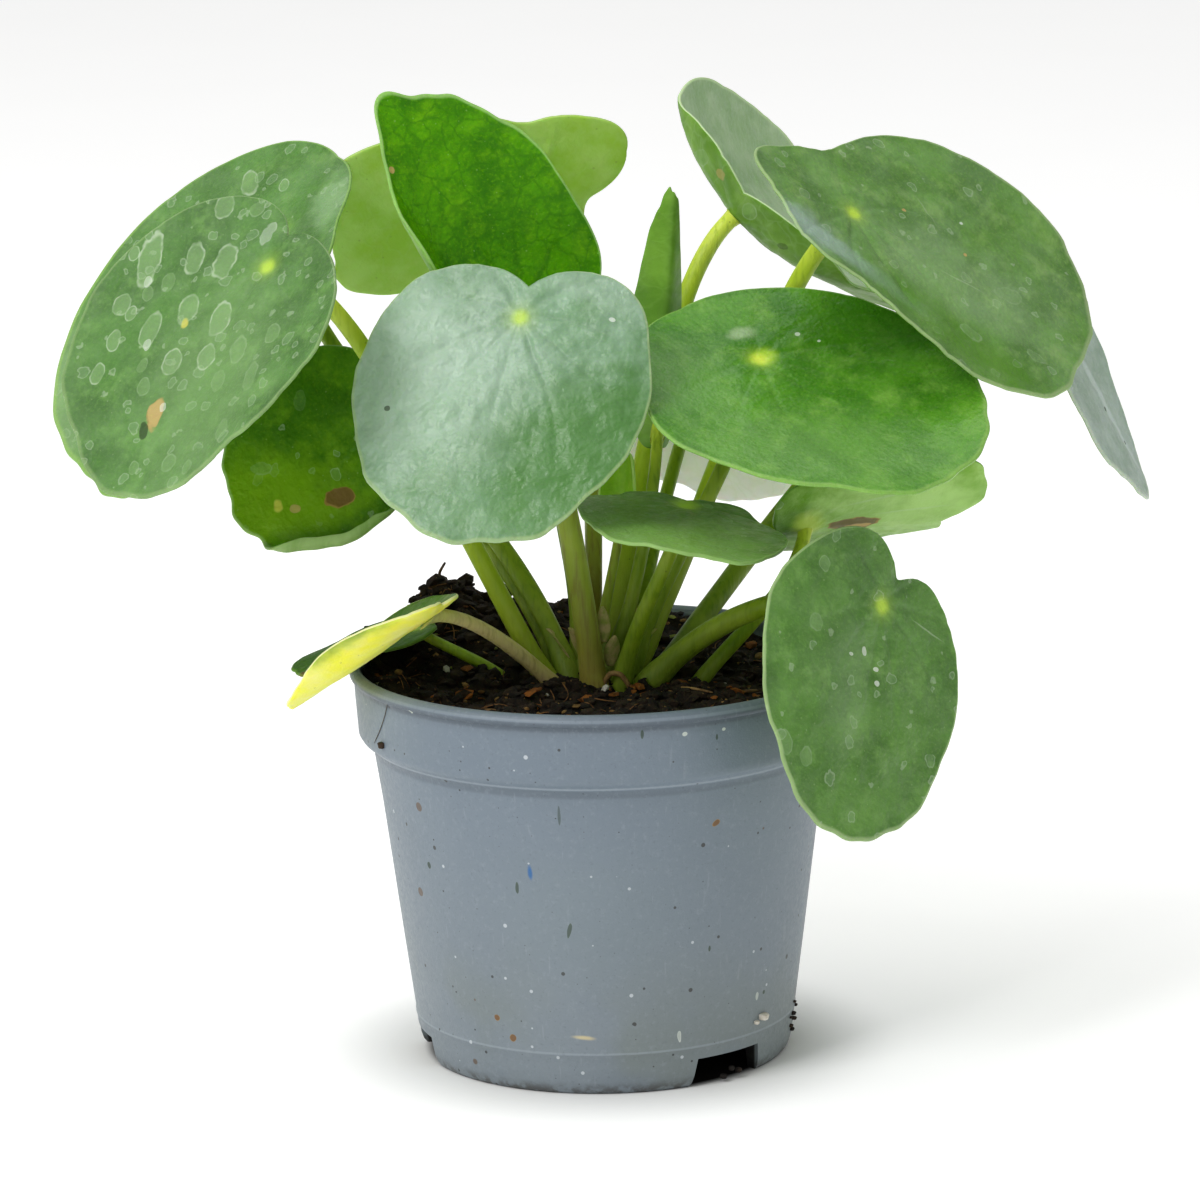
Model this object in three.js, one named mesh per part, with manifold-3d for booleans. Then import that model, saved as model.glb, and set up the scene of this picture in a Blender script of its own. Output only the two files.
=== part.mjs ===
// A potted pilea plant: a 12 cm nursery pot filled with peat, a short main stem and eighteen shield-shaped
// leaves, each a blade on a stalk that joins it inside the margin.
// Units are millimetres and +Z is up. The plant is modelled round the pot's axis, with the pot standing on
// z = 0, and the whole is then shifted so that the origin lies at the middle of its box, on the ground.
import * as THREE from 'three';
import * as BufferGeometryUtils from 'three/addons/utils/BufferGeometryUtils.js';
import Module from 'manifold-3d';

const wasm = await Module();
wasm.setup();

// ---------------------------------------------------------------- driving dimensions

const CLEARANCE = 0.3;            // gap left between pieces that touch

const POT_HEIGHT = 96;
const RIM_RADIUS = 60;            // outside of the lip
const STEP_RADIUS = 54.7;         // wall just under the collar
const STEP_HEIGHT = 76.8;
const BASE_RADIUS = 44.6;         // the tapered wall carried down to the ground
const WALL = 1.3;
const FLOOR_TOP = 8.6;
const FLOOR_UNDERSIDE = 7.2;
const FLOOR_RADIUS = 43.9;        // inside, where the wall meets the floor
const COLLAR_INNER_RADIUS = 56.8;
const FOOT_INNER_RADIUS = 40.8;
const FOOT_FLAT_RADIUS = 43.2;    // outer edge of the flat that the pot stands on
const POT_SEGMENTS = 48;

const NOTCH_COUNT = 3;
const NOTCH_FIRST_ANGLE = 40.5;   // degrees from the front (-Y) towards +X
const NOTCH_TOP_WIDTH = 19;
const NOTCH_BOTTOM_WIDTH = 21.5;
const DRAIN_SLOT = { width: 15, from: 32, to: 39.6 };
const DRAIN_HOLES = { radius: 4, ringRadius: 22 };

const SOIL_LEVEL = 91;            // round the stems
const SOIL_SEGMENTS = 36;
const SOIL_RINGS = 9;

const CROWN = { x: 1, y: 1, footZ: 52, topZ: 101, footRadii: [8.5, 6], topRadii: [6.5, 4.5], sides: 20 };

const BLADE_THICKNESS = 1.0;
const BLADE_RINGS = 3;
const BLADE_SEGMENTS = 30;
const SMALL_BLADE_RINGS = 3;
const SMALL_BLADE_SEGMENTS = 20;
const BRIM_EASE = 3;              // how gently a brim leaves the line through the dot
const STALK_STEPS = 10;
const STALK_SIDES = 7;
const STALK_FOOT_DEPTH = 4;       // straight run below the foot that leads into the crown or the soil

const COLOURS = {
  pot: '#7b8792',
  soil: '#2a211a',
  crown: '#7d8a3c',
  glaucous: '#6f9277',
  bright: '#4f8d1f',
  deep: '#3c6b1b',
  pale: '#8fb071',
  yellow: '#d9de3a',
  stalk: '#96a535',
  tanStalk: '#a3a05a',
};

// One line per leaf, chosen by eye and rounded.
//   at      the dot where the stalk joins the blade, on the blade's mid surface
//   faces   compass bearing from the front (-Y, positive towards +X) and height of the upper face's normal
//   spin    swing of the tip away from the steepest way down the blade
//   size    width and length of the flattened blade
//   dot     distance of the dot from the top of the lobes, as a share of the length
//   bulges  places where the margin stands further out or in: angle from the tip, spread, and share
//   curl    how far the left and right halves bend up, in degrees at half the width
//   arch    how far the blade bends up towards its tip, in degrees over its length
//   brim    how far the part beyond the dot, away from the tip, turns up, in degrees
//   stalk   foot, two control points (the head is the dot), and the radii at foot and head
const LEAVES = [
  { id: '01', at: [-17, -27, 184], faces: [-8, 36], spin: -10, size: [72, 69], dot: 0.19, heart: 0.06,
    notch: 0.15, bulges: [[165, 28, 0.48], [-152, 25, 0.2], [-15, 25, 0.04], [80, 40, -0.06]],
    curl: [-14, -14], arch: -8, colour: 'glaucous', waves: 3,
    stalk: [[-1, -7, 87], [-5, -9, 130], [-14, -4, 168]], radii: [3.1, 2.3] },
  { id: '02', at: [39, -11, 170], faces: [18, 62], spin: 32, size: [80, 76], dot: 0.24, heart: 0,
    notch: 0.02, bulges: [[178, 36, 0.46], [-110, 20, 0.08], [60, 25, -0.08], [-10, 25, 0.05]],
    skew: 0.12, curl: [6, 6], arch: 6, colour: 'bright', waves: 5,
    stalk: [[8, -2, 95], [15, -2, 118], [35, 0, 144]], radii: [2.1, 1.6] },
  { id: '03', at: [62, 4, 202], faces: [52, 46], spin: 18, size: [90, 86], dot: 0.24,
    notch: 0.04, bulges: [[-85, 60, -0.44], [78, 50, 0.24], [158, 18, -0.14], [-174, 13, 0.5]],
    curl: [24, 4], arch: -5, colour: 'glaucous', waves: 7,
    stalk: [[10, 4, 97], [28, 12, 130], [44, 34, 184]], radii: [2.7, 2.1] },
  { id: '04', at: [35, 40, 196], faces: [88, 45], spin: 60, size: [86, 86],
    bulges: [[45, 25, 0.15], [105, 18, 0.03], [-150, 30, 0.12]],
    curl: [40, 40], arch: 12, brim: 46, colour: 'glaucous', waves: 2,
    stalk: [[3, 8, 98], [12, 18, 140], [19, 42, 184]], radii: [3.0, 2.0] },
  { id: '05', at: [109, 50, 177], faces: [77, 26], spin: 0, size: [58, 66],
    notch: 0, bulges: [[80, 40, -0.22], [0, 26, 0.1]],
    curl: [5, 5], arch: 0, colour: 'glaucous', waves: 9,
    stalk: [[13, 2, 89], [42, 25, 122], [78, 52, 166]], radii: [2.7, 2.0] },
  { id: '06', at: [-76, -20, 196], faces: [-43, 42], spin: -6, size: [87, 86], dot: 0.23, heart: -0.05,
    bulges: [[65, 45, -0.22], [30, 20, -0.05], [158, 35, -0.28]],
    skew: 0.1,
    curl: [12, 20], arch: -8, colour: 'glaucous', waves: 4,
    stalk: [[-12, -3, 90], [-39, -5, 140], [-55, -8, 190]], radii: [2.4, 2.0] },
  { id: '07', at: [-73, 26, 197], faces: [-54, 44], spin: 0, size: [84, 97], dot: 0.2,
    notch: 0.02, bulges: [[-160, 55, 0.42], [-70, 35, 0.1], [-60, 15, 0.06], [140, 35, -0.5], [85, 25, -0.3]],
    curl: [12, 20], arch: -8, colour: 'bright', waves: 8,
    stalk: [[-9, 7, 90], [-26, 24, 133], [-74, 44, 162]], radii: [2.1, 1.8] },
  { id: '08', at: [-52, 10, 154], faces: [-25, 25], spin: -55, size: [51, 52],
    curl: [0, 0], arch: 0, colour: 'deep', waves: 6,
    stalk: [[-8, 1, 93], [-16, 12, 117], [-40, 24, 142]], radii: [2.5, 1.9] },
  { id: '09', at: [-18, 8, 180], faces: [10, 10], spin: -151, size: [50, 69],
    bulges: [[-140, 25, 0.22], [45, 22, -0.15], [5, 10, 0.05]],
    curl: [10, 100], arch: 0, colour: 'bright', waves: 1,
    stalk: [[-4, 5, 98], [-6, 14, 130], [-19, 26, 172]], radii: [2.4, 1.8] },
  { id: '10', at: [-15, 46, 204], faces: [-172, 26], spin: 70, size: [49, 71], dot: 0.28,
    notch: 0.02, bulges: [[172, 20, 0.38], [125, 15, -0.2], [-148, 14, -0.2], [60, 25, 0.17], [-40, 22, 0.13]],
    curl: [0, 0], arch: 0, colour: 'pale', waves: 5,
    stalk: [[-2, 11, 97], [2, 22, 139], [-6, 33, 188]], radii: [2.2, 1.8] },
  { id: '11', at: [15, 9, 150], faces: [190, 0], spin: 184, size: [12, 66], dot: 0.12, heart: 0.35,
    fold: 2.8, curl: [0, 0], arch: 0, colour: 'bright', waves: 3,
    stalk: [[5, 2, 100], [10, 2, 115], [14, 3, 135]], radii: [1.7, 1.4] },
  { id: '12', at: [21, -18, 136], faces: [75, 79], spin: -78, size: [50, 51], dot: 0.14,
    notch: 0.12, bulges: [[164, 14, 0.5], [-164, 14, 0.45]],
    curl: [0, 0], arch: 0, colour: 'deep', waves: 2,
    stalk: [[5, -7, 90], [8, -11, 108], [17, -18, 121]], radii: [2.1, 1.6] },
  { id: '13', at: [66, -42, 117], faces: [46, 10], spin: -28, size: [66, 70], dot: 0.22,
    notch: 0.03, bulges: [[170, 9, -0.4], [110, 45, -0.1], [-10, 15, 0.05], [-165, 20, 0.1]], skew: 0.1,
    curl: [-15, 5], arch: 0, colour: 'glaucous', waves: 6,
    stalk: [[12, -6, 91], [30, -11, 112], [52, -25, 119]], radii: [2.8, 2.1] },
  { id: '14', at: [50, 8, 125], faces: [-162, 54], spin: -95, size: [50, 56], dot: 0.2,
    bulges: [[15, 20, -0.2], [-45, 20, 0.12], [-150, 15, 0.15]],
    curl: [25, 25], arch: 0, colour: 'bright', waves: 4,
    stalk: [[21, -2, 86], [30, -2, 100], [47, -1, 110]], radii: [1.9, 1.6] },
  { id: '15', at: [-40, -33, 114], faces: [-115, 55], spin: 0, size: [34, 53], bulges: [[-35, 15, 0.25]],
    curl: [40, 40], arch: 0, colour: 'yellow', waves: 2, tan: true,
    stalk: [[-9, -7, 89], [-22, -14, 105], [-34, -26, 115]], radii: [1.9, 1.5] },
  { id: '16', at: [-44, 7, 102], faces: [-84, 80], spin: 0, size: [26, 38],
    curl: [0, 0], arch: -16, colour: 'deep', waves: 9,
    stalk: [[-17, -1, 86], [-25, 1, 95], [-36, 4, 97]], radii: [1.5, 1.2] },
  { id: '17', at: [29, 46, 165], faces: [175, 30], spin: 0, size: [62, 68], bulges: [[20, 30, -0.08]],
    curl: [0, 0], arch: 0, colour: 'pale', waves: 7,
    stalk: [[8, 11, 93], [14, 26, 126], [24, 38, 150]], radii: [1.8, 1.5] },
  { id: '18', at: [6, 4, 131], faces: [-20, 10], spin: 180, size: [9, 18], heart: 0.3,
    fold: 1.5, curl: [0, 0], arch: 0, colour: 'pale', waves: 1,
    stalk: [[0, 1, 100], [2, 2, 111], [5, 3, 122]], radii: [1.4, 1.0] },
];

// ---------------------------------------------------------------- geometry helpers

const rad = (degrees) => degrees * Math.PI / 180;

/** A closed mesh from a list of [x, y, z] points and a list of triangles. */
function meshGeometry(points, triangles) {
  const geometry = new THREE.BufferGeometry();
  geometry.setAttribute('position', new THREE.Float32BufferAttribute(points.flat(), 3));
  geometry.setIndex(triangles.flat());
  return geometry;
}

/** The manifold solid of a closed geometry, for joins and cuts. */
function solidOf(geometry) {
  const plain = geometry.clone();
  plain.deleteAttribute('normal');
  plain.deleteAttribute('uv');
  const merged = BufferGeometryUtils.mergeVertices(plain, 1e-4);
  return new wasm.Manifold(new wasm.Mesh({
    numProp: 3,
    vertProperties: new Float32Array(merged.attributes.position.array),
    triVerts: new Uint32Array(merged.index.array),
  }));
}

/** The geometry of a manifold solid. */
function geometryOf(solid) {
  const mesh = solid.getMesh();
  const geometry = new THREE.BufferGeometry();
  geometry.setAttribute('position', new THREE.Float32BufferAttribute(Array.from(mesh.vertProperties), 3));
  geometry.setIndex(Array.from(mesh.triVerts));
  return geometry;
}

/** A solid of revolution round z, from a profile of [radius, z] points that starts and ends on the axis. */
function revolved(profile, segments) {
  const points = profile.map(([radius, z]) => new THREE.Vector2(radius, z));
  const geometry = new THREE.LatheGeometry(points, segments);
  geometry.rotateX(Math.PI / 2);
  return geometry;
}

/** Rings of equal point count joined into a closed body, with a fan from a middle point at each end. */
function skinned(rings, firstMiddle, lastMiddle) {
  const count = rings[0].length;
  const points = [...rings.flat(), firstMiddle, lastMiddle];
  const first = points.length - 2;
  const last = points.length - 1;
  const triangles = [];
  for (let side = 0; side < count; side += 1) {
    const next = (side + 1) % count;
    triangles.push([first, next, side]);
    for (let ring = 0; ring < rings.length - 1; ring += 1) {
      const low = ring * count;
      const high = low + count;
      triangles.push([low + side, low + next, high + side]);
      triangles.push([low + next, high + next, high + side]);
    }
    const top = (rings.length - 1) * count;
    triangles.push([last, top + side, top + next]);
  }
  return meshGeometry(points, triangles);
}

// ---------------------------------------------------------------- blade

const bladeDefaults = { dot: 0.17, notch: 0.08, heart: 0.08, fold: 0, skew: 0, brim: 0, bulges: [] };

/** The blade's own axes: right across it, down towards its tip, and out of its upper face. */
function bladeAxes(leaf) {
  const [bearing, height] = leaf.faces.map(rad);
  const out = new THREE.Vector3(
    Math.sin(bearing) * Math.cos(height), -Math.cos(bearing) * Math.cos(height), Math.sin(height));
  const downhill = new THREE.Vector3(
    Math.sin(bearing) * Math.sin(height), -Math.cos(bearing) * Math.sin(height), -Math.cos(height));
  const level = out.clone().cross(downhill);
  const tip = downhill.multiplyScalar(Math.cos(rad(leaf.spin)))
    .add(level.multiplyScalar(Math.sin(rad(leaf.spin))));
  const right = out.clone().cross(tip);
  return { right, tip, out };
}

/** The flattened margin at an angle round the blade: 0 at the tip, half a turn at the notch. */
function marginPoint(leaf, angle) {
  const shape = { ...bladeDefaults, ...leaf };
  const [width, length] = shape.size;
  const towardsTip = 0.5 + 0.5 * Math.cos(angle);
  const bulging = shape.bulges.reduce((sum, [degrees, spread, amount]) => {
    const turned = Math.abs(angle - rad(degrees)) % (2 * Math.PI);
    const away = Math.min(turned, 2 * Math.PI - turned) / rad(spread);
    return sum + amount * Math.exp(-away * away);
  }, 0);
  const scallop = 1 + bulging + 0.012 * towardsTip * Math.sin(9 * angle + shape.waves)
    + 0.008 * Math.sin(5 * angle + 2 * shape.waves);
  const across = 0.5 * width * Math.sin(angle) * (1 - shape.heart * Math.cos(angle)) * scallop;
  const fromNotch = Math.abs(Math.PI - Math.abs(angle)) / 0.22;
  const along = length * (0.5 - shape.dot + 0.5 * Math.cos(angle)) * scallop
    + shape.notch * length * Math.exp(-fromNotch) + shape.skew * across;
  return [across, along];
}

/** A point of the blade's mid surface: share 0 is the dot and share 1 is the margin. */
function bladePoint(leaf, axes, share, angle) {
  const shape = { ...bladeDefaults, ...leaf };
  const [width, length] = shape.size;
  const [across, along] = marginPoint(leaf, angle).map((value) => value * share);
  const bend = rad(across < 0 ? shape.curl[0] : shape.curl[1]) / (width / 2);
  const arch = rad(shape.arch) / length;
  const sideways = Math.abs(bend) > 1e-6 ? Math.sin(bend * across) / bend : across;
  const lift = Math.abs(bend) > 1e-6 ? (1 - Math.cos(bend * across)) / bend : 0;
  const onward = Math.abs(arch) > 1e-6 ? Math.sin(arch * along) / arch : along;
  const rise = Math.abs(arch) > 1e-6 ? (1 - Math.cos(arch * along)) / arch : 0;
  const crease = shape.fold * (Math.hypot(across, 3) - 3);
  const ripple = 0.6 * share * share * Math.sin(4 * angle + shape.waves);
  const beyond = 0.5 * (Math.hypot(along, BRIM_EASE) - along - BRIM_EASE);
  const brimRise = beyond * Math.sin(rad(shape.brim));
  const brimDraw = beyond * (1 - Math.cos(rad(shape.brim)));
  return new THREE.Vector3(...leaf.at)
    .addScaledVector(axes.right, sideways)
    .addScaledVector(axes.tip, onward + brimDraw)
    .addScaledVector(axes.out, lift + rise + crease + ripple + brimRise);
}

/** The outward normal of the blade's mid surface, from short steps along it. */
function bladeNormal(leaf, axes, share, angle) {
  if (share === 0) return axes.out.clone();
  const step = 0.01;
  const inner = bladePoint(leaf, axes, share - step, angle);
  const outer = bladePoint(leaf, axes, share + step, angle);
  const before = bladePoint(leaf, axes, share, angle - step);
  const after = bladePoint(leaf, axes, share, angle + step);
  const normal = after.sub(before).cross(outer.sub(inner)).normalize();
  return normal.dot(axes.out) < 0 ? normal.negate() : normal;
}

/** A closed sheet that follows the blade out to a share of its size, from one depth to another. */
function bladeSheet(leaf, reach, from, to, segments, ringCount) {
  const axes = bladeAxes(leaf);
  const faces = [from, to].map((depth) => {
    const point = (share, angle) => bladePoint(leaf, axes, share, angle)
      .addScaledVector(bladeNormal(leaf, axes, share, angle), depth).toArray();
    const rings = [];
    for (let ring = 1; ring <= ringCount; ring += 1) {
      const row = [];
      for (let segment = 0; segment < segments; segment += 1) {
        const angle = -Math.PI + 2 * Math.PI * segment / segments;
        row.push(point(reach * (ring / ringCount) ** 0.9, angle));
      }
      rings.push(row);
    }
    return { middle: point(0, 0), rings };
  });
  const [under, upper] = faces;
  const rings = [...under.rings, ...[...upper.rings].reverse()];
  return skinned(rings, under.middle, upper.middle);
}

// ---------------------------------------------------------------- stalks and crown

/** The stalk's centre line: straight on down from its foot, then a curve up to the dot. */
function stalkPoints(leaf) {
  const [foot, rise, arrive] = leaf.stalk.map((point) => new THREE.Vector3(...point));
  const head = new THREE.Vector3(...leaf.at);
  const curve = new THREE.CubicBezierCurve3(foot, rise, arrive, head);
  const start = foot.clone().addScaledVector(curve.getTangent(0), -STALK_FOOT_DEPTH);
  return [start, ...curve.getSpacedPoints(STALK_STEPS)];
}

/** A closed round stalk that tapers from foot to head, with its radius grown by an allowance. */
function stalkSweep(leaf, allowance = 0) {
  const points = stalkPoints(leaf);
  const [footRadius, headRadius] = leaf.radii;
  const tangentAt = (index) => points[Math.min(index + 1, points.length - 1)].clone()
    .sub(points[Math.max(index - 1, 0)]).normalize();
  let side = new THREE.Vector3(1, 0, 0);
  const rings = points.map((point, index) => {
    const tangent = tangentAt(index);
    side = side.clone().addScaledVector(tangent, -side.dot(tangent)).normalize();
    const other = tangent.clone().cross(side);
    const share = Math.max(index - 1, 0) / (points.length - 2);
    const radius = footRadius + (headRadius - footRadius) * share + allowance;
    return Array.from({ length: STALK_SIDES }, (_, corner) => {
      const angle = 2 * Math.PI * corner / STALK_SIDES;
      return point.clone()
        .addScaledVector(side, radius * Math.cos(angle))
        .addScaledVector(other, radius * Math.sin(angle)).toArray();
    });
  });
  return skinned(rings, points[0].toArray(), points[points.length - 1].toArray());
}

/** The short main stem, an oval taper with a domed top, grown by an allowance. */
function crownBody(allowance = 0) {
  const { x, y, footZ, topZ, footRadii, topRadii, sides } = CROWN;
  const levels = [[0, 1], [0.5, 1], [0.8, 1], [0.93, 0.86], [1, 0.5]];
  const rings = levels.map(([share, scale]) => {
    const z = footZ - allowance + (topZ - footZ + 2 * allowance) * share;
    return Array.from({ length: sides }, (_, corner) => {
      const angle = 2 * Math.PI * corner / sides;
      const radii = [0, 1].map((axis) =>
        (footRadii[axis] + (topRadii[axis] - footRadii[axis]) * share) * scale + allowance);
      return [x + radii[0] * Math.cos(angle), y + radii[1] * Math.sin(angle), z];
    });
  });
  return skinned(rings, [x, y, footZ - allowance], [x, y, topZ + allowance]);
}

/** A stalk cut clear of the crown at its foot and of its own blade's underside at its head. */
function stalkBody(leaf) {
  const underBlade = -(BLADE_THICKNESS / 2 + CLEARANCE);
  const seat = bladeSheet(leaf, 1.02, underBlade, leaf.fold ? 1.5 : 3, ...bladeDivision(leaf));
  return solidOf(stalkSweep(leaf))
    .subtract(solidOf(crownBody(CLEARANCE)))
    .subtract(solidOf(seat));
}

// ---------------------------------------------------------------- soil

/** Height of the soil's surface: level round the stems, lumpy, and heaped at the back left. */
function soilHeight(x, y) {
  const heap = 15 * Math.exp(-((x + 38) ** 2 + (y - 33) ** 2) / 520);
  const behind = 5 * Math.exp(-((x + 2) ** 2 + (y - 46) ** 2) / 500);
  const lumps = 0.9 * Math.sin(0.31 * x + 1.1) * Math.cos(0.27 * y - 0.6)
    + 0.6 * Math.sin(0.63 * x - 0.52 * y + 2.0) + 0.35 * Math.sin(1.1 * x + 0.9 * y);
  return SOIL_LEVEL + heap + behind + lumps;
}

/** The soil that fills the pot, with a plain hole for the crown and for each stalk that stands in it. */
function soilBody(leaves) {
  const gap = CLEARANCE;
  const wall = [
    [FLOOR_RADIUS - gap, FLOOR_TOP + gap],
    [FLOOR_RADIUS + 0.8 - gap, FLOOR_TOP + 2],
    [STEP_RADIUS - WALL - gap, STEP_HEIGHT + 0.7 + gap],
    [COLLAR_INNER_RADIUS - gap, STEP_HEIGHT + 4 + gap],
  ];
  const topRadius = COLLAR_INNER_RADIUS + 0.2;
  const angleOf = (segment) => 2 * Math.PI * segment / SOIL_SEGMENTS;
  const level = ([radius, z]) => Array.from({ length: SOIL_SEGMENTS }, (_, segment) =>
    [radius * Math.cos(angleOf(segment)), radius * Math.sin(angleOf(segment)), z]);
  const surface = Array.from({ length: SOIL_RINGS }, (_, ring) => {
    const radius = topRadius * (1 - ring / SOIL_RINGS);
    return Array.from({ length: SOIL_SEGMENTS }, (__, segment) => {
      const x = radius * Math.cos(angleOf(segment));
      const y = radius * Math.sin(angleOf(segment));
      return [x, y, Math.min(soilHeight(x, y), ring === 0 ? POT_HEIGHT - 1 : Infinity)];
    });
  });
  const body = skinned([...wall.map(level), ...surface], [0, 0, FLOOR_TOP + gap], [0, 0, soilHeight(0, 0)]);
  let solid = solidOf(body).subtract(solidOf(crownBody(gap)));
  for (const leaf of leaves) {
    solid = solid.subtract(solidOf(stalkSweep(leaf, gap)));
  }
  return solid;
}

// ---------------------------------------------------------------- pot

/** The pot's closed section, from the middle of the floor's underside round to the middle of its top. */
function potProfile() {
  return [
    [0, FLOOR_UNDERSIDE],
    [FOOT_INNER_RADIUS, FLOOR_UNDERSIDE],
    [FOOT_INNER_RADIUS, 0],
    [FOOT_FLAT_RADIUS, 0],
    [BASE_RADIUS - 0.3, 0.9],
    [BASE_RADIUS + 0.4, 3],
    [STEP_RADIUS, STEP_HEIGHT],
    [RIM_RADIUS - 3.0, STEP_HEIGHT + 1.6],
    [RIM_RADIUS - 1.6, STEP_HEIGHT + 3.4],
    [RIM_RADIUS - 0.9, POT_HEIGHT - 3.4],
    [RIM_RADIUS, POT_HEIGHT - 2.2],
    [RIM_RADIUS, POT_HEIGHT - 0.7],
    [RIM_RADIUS - 0.6, POT_HEIGHT],
    [RIM_RADIUS - 1.5, POT_HEIGHT],
    [RIM_RADIUS - 2.1, POT_HEIGHT - 0.6],
    [COLLAR_INNER_RADIUS, STEP_HEIGHT + 4],
    [COLLAR_INNER_RADIUS - 1.2, STEP_HEIGHT + 2],
    [STEP_RADIUS - WALL, STEP_HEIGHT + 0.7],
    [FLOOR_RADIUS + 0.8, FLOOR_TOP + 2],
    [FLOOR_RADIUS, FLOOR_TOP],
    [0, FLOOR_TOP],
  ];
}

/** A prism along the radius at an angle from the front, with its section given as [sideways, z] corners. */
function radialPrism(section, from, to, degrees) {
  const shape = new THREE.Shape(section.map(([sideways, z]) => new THREE.Vector2(sideways, z)));
  const geometry = new THREE.ExtrudeGeometry(shape, { depth: to - from, bevelEnabled: false });
  geometry.rotateX(Math.PI / 2);
  geometry.translate(0, -from, 0);
  geometry.rotateZ(rad(degrees));
  return geometry;
}

/** The pot: the revolved section with its drain notches, slots and holes cut out. */
function potBody() {
  let solid = solidOf(revolved(potProfile(), POT_SEGMENTS));
  for (let index = 0; index < NOTCH_COUNT; index += 1) {
    const degrees = NOTCH_FIRST_ANGLE + 360 * index / NOTCH_COUNT;
    const notch = [
      [-NOTCH_BOTTOM_WIDTH / 2, -1],
      [NOTCH_BOTTOM_WIDTH / 2, -1],
      [NOTCH_TOP_WIDTH / 2, FLOOR_UNDERSIDE],
      [-NOTCH_TOP_WIDTH / 2, FLOOR_UNDERSIDE],
    ];
    const slot = [
      [-DRAIN_SLOT.width / 2, FLOOR_UNDERSIDE - 1],
      [DRAIN_SLOT.width / 2, FLOOR_UNDERSIDE - 1],
      [DRAIN_SLOT.width / 2, FLOOR_TOP + 1],
      [-DRAIN_SLOT.width / 2, FLOOR_TOP + 1],
    ];
    solid = solid
      .subtract(solidOf(radialPrism(notch, FOOT_INNER_RADIUS - 3, RIM_RADIUS, degrees)))
      .subtract(solidOf(radialPrism(slot, DRAIN_SLOT.from, DRAIN_SLOT.to, degrees)));
    const hole = new THREE.CylinderGeometry(DRAIN_HOLES.radius, DRAIN_HOLES.radius, 6, 20);
    hole.rotateX(Math.PI / 2);
    hole.translate(0, -DRAIN_HOLES.ringRadius, FLOOR_TOP);
    hole.rotateZ(rad(degrees + 180 / NOTCH_COUNT));
    solid = solid.subtract(solidOf(hole));
  }
  return solid;
}

// ---------------------------------------------------------------- assembly

/** A named mesh with its own material. */
function piece(name, geometry, colour, roughness, sided = false) {
  const drawn = geometry.index ? geometry.toNonIndexed() : geometry;
  drawn.computeVertexNormals();
  const material = new THREE.MeshStandardMaterial({ color: colour, roughness, metalness: 0 });
  material.flatShading = sided;
  const mesh = new THREE.Mesh(drawn, material);
  mesh.name = name;
  return mesh;
}

/** How finely a blade is divided: small leaves take fewer segments. */
function bladeDivision(leaf) {
  const [width, length] = leaf.size;
  return width * length > 1500 ? [BLADE_SEGMENTS, BLADE_RINGS] : [SMALL_BLADE_SEGMENTS, SMALL_BLADE_RINGS];
}

const group = new THREE.Group();
group.name = 'potted_plant';
group.add(piece('pot', geometryOf(potBody()), COLOURS.pot, 0.45));
group.add(piece('soil', geometryOf(soilBody(LEAVES)), COLOURS.soil, 0.95, true));
group.add(piece('crown', crownBody(), COLOURS.crown, 0.6));
for (const leaf of LEAVES) {
  const half = BLADE_THICKNESS / 2;
  const [segments, rings] = bladeDivision(leaf);
  const blade = bladeSheet(leaf, 1, -half, half, segments, rings);
  group.add(piece(`blade_${leaf.id}`, blade, COLOURS[leaf.colour], 0.5));
  const stalkColour = leaf.tan ? COLOURS.tanStalk : COLOURS.stalk;
  group.add(piece(`petiole_${leaf.id}`, geometryOf(stalkBody(leaf)), stalkColour, 0.45));
}

const box = new THREE.Box3().setFromObject(group);
const middle = box.getCenter(new THREE.Vector3());
group.position.set(-middle.x, -middle.y, 0);
group.updateMatrixWorld(true);

export default group;
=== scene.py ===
"""A potted plant with round shield-shaped leaves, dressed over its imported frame.

The shapes are worked out with numpy as functions of two parameters. Sizes are millimetres in the plant's
own frame, whose axis is the pot's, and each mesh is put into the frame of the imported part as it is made.
"""

import logging
from dataclasses import dataclass, field, replace
from enum import Enum
from itertools import combinations
from math import cos, pi, radians, sin
from typing import NamedTuple, Optional, Sequence, Union

import bmesh
import bpy
import numpy as np
from mathutils import Matrix, Vector

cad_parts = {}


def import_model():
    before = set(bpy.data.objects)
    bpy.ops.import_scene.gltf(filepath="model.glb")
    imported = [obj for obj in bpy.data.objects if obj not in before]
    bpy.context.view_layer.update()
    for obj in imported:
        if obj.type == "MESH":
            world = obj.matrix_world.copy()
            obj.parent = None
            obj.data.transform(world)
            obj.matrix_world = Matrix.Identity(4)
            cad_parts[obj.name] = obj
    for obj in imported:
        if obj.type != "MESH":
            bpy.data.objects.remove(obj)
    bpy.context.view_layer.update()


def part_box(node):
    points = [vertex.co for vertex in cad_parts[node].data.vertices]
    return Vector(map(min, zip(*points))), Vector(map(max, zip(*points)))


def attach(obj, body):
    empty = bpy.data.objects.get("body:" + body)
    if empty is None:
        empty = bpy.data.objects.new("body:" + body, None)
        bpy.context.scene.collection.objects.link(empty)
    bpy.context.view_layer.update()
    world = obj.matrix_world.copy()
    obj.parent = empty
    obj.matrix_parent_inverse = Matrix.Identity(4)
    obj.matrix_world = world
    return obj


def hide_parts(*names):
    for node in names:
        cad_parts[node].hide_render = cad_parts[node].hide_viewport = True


log = logging.getLogger("plant")

MM = 0.001
UV_SPAN = 200.0  # millimetres across a surface map
WALL_RADIUS = 55.0  # mean radius of the pot's wall
HASH_STEPS = (73856093, 19349663, 83492791)  # large primes that tell the cells of the noise apart
HASH_SEED = 2654435
HASH_MIX = 1274126177
MOST_NOISE = (0.3, 0.7)  # the range in which most of the fractal noise lies
MARK_DULLS = 0.12  # how much rougher a mark is than what is round it

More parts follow.
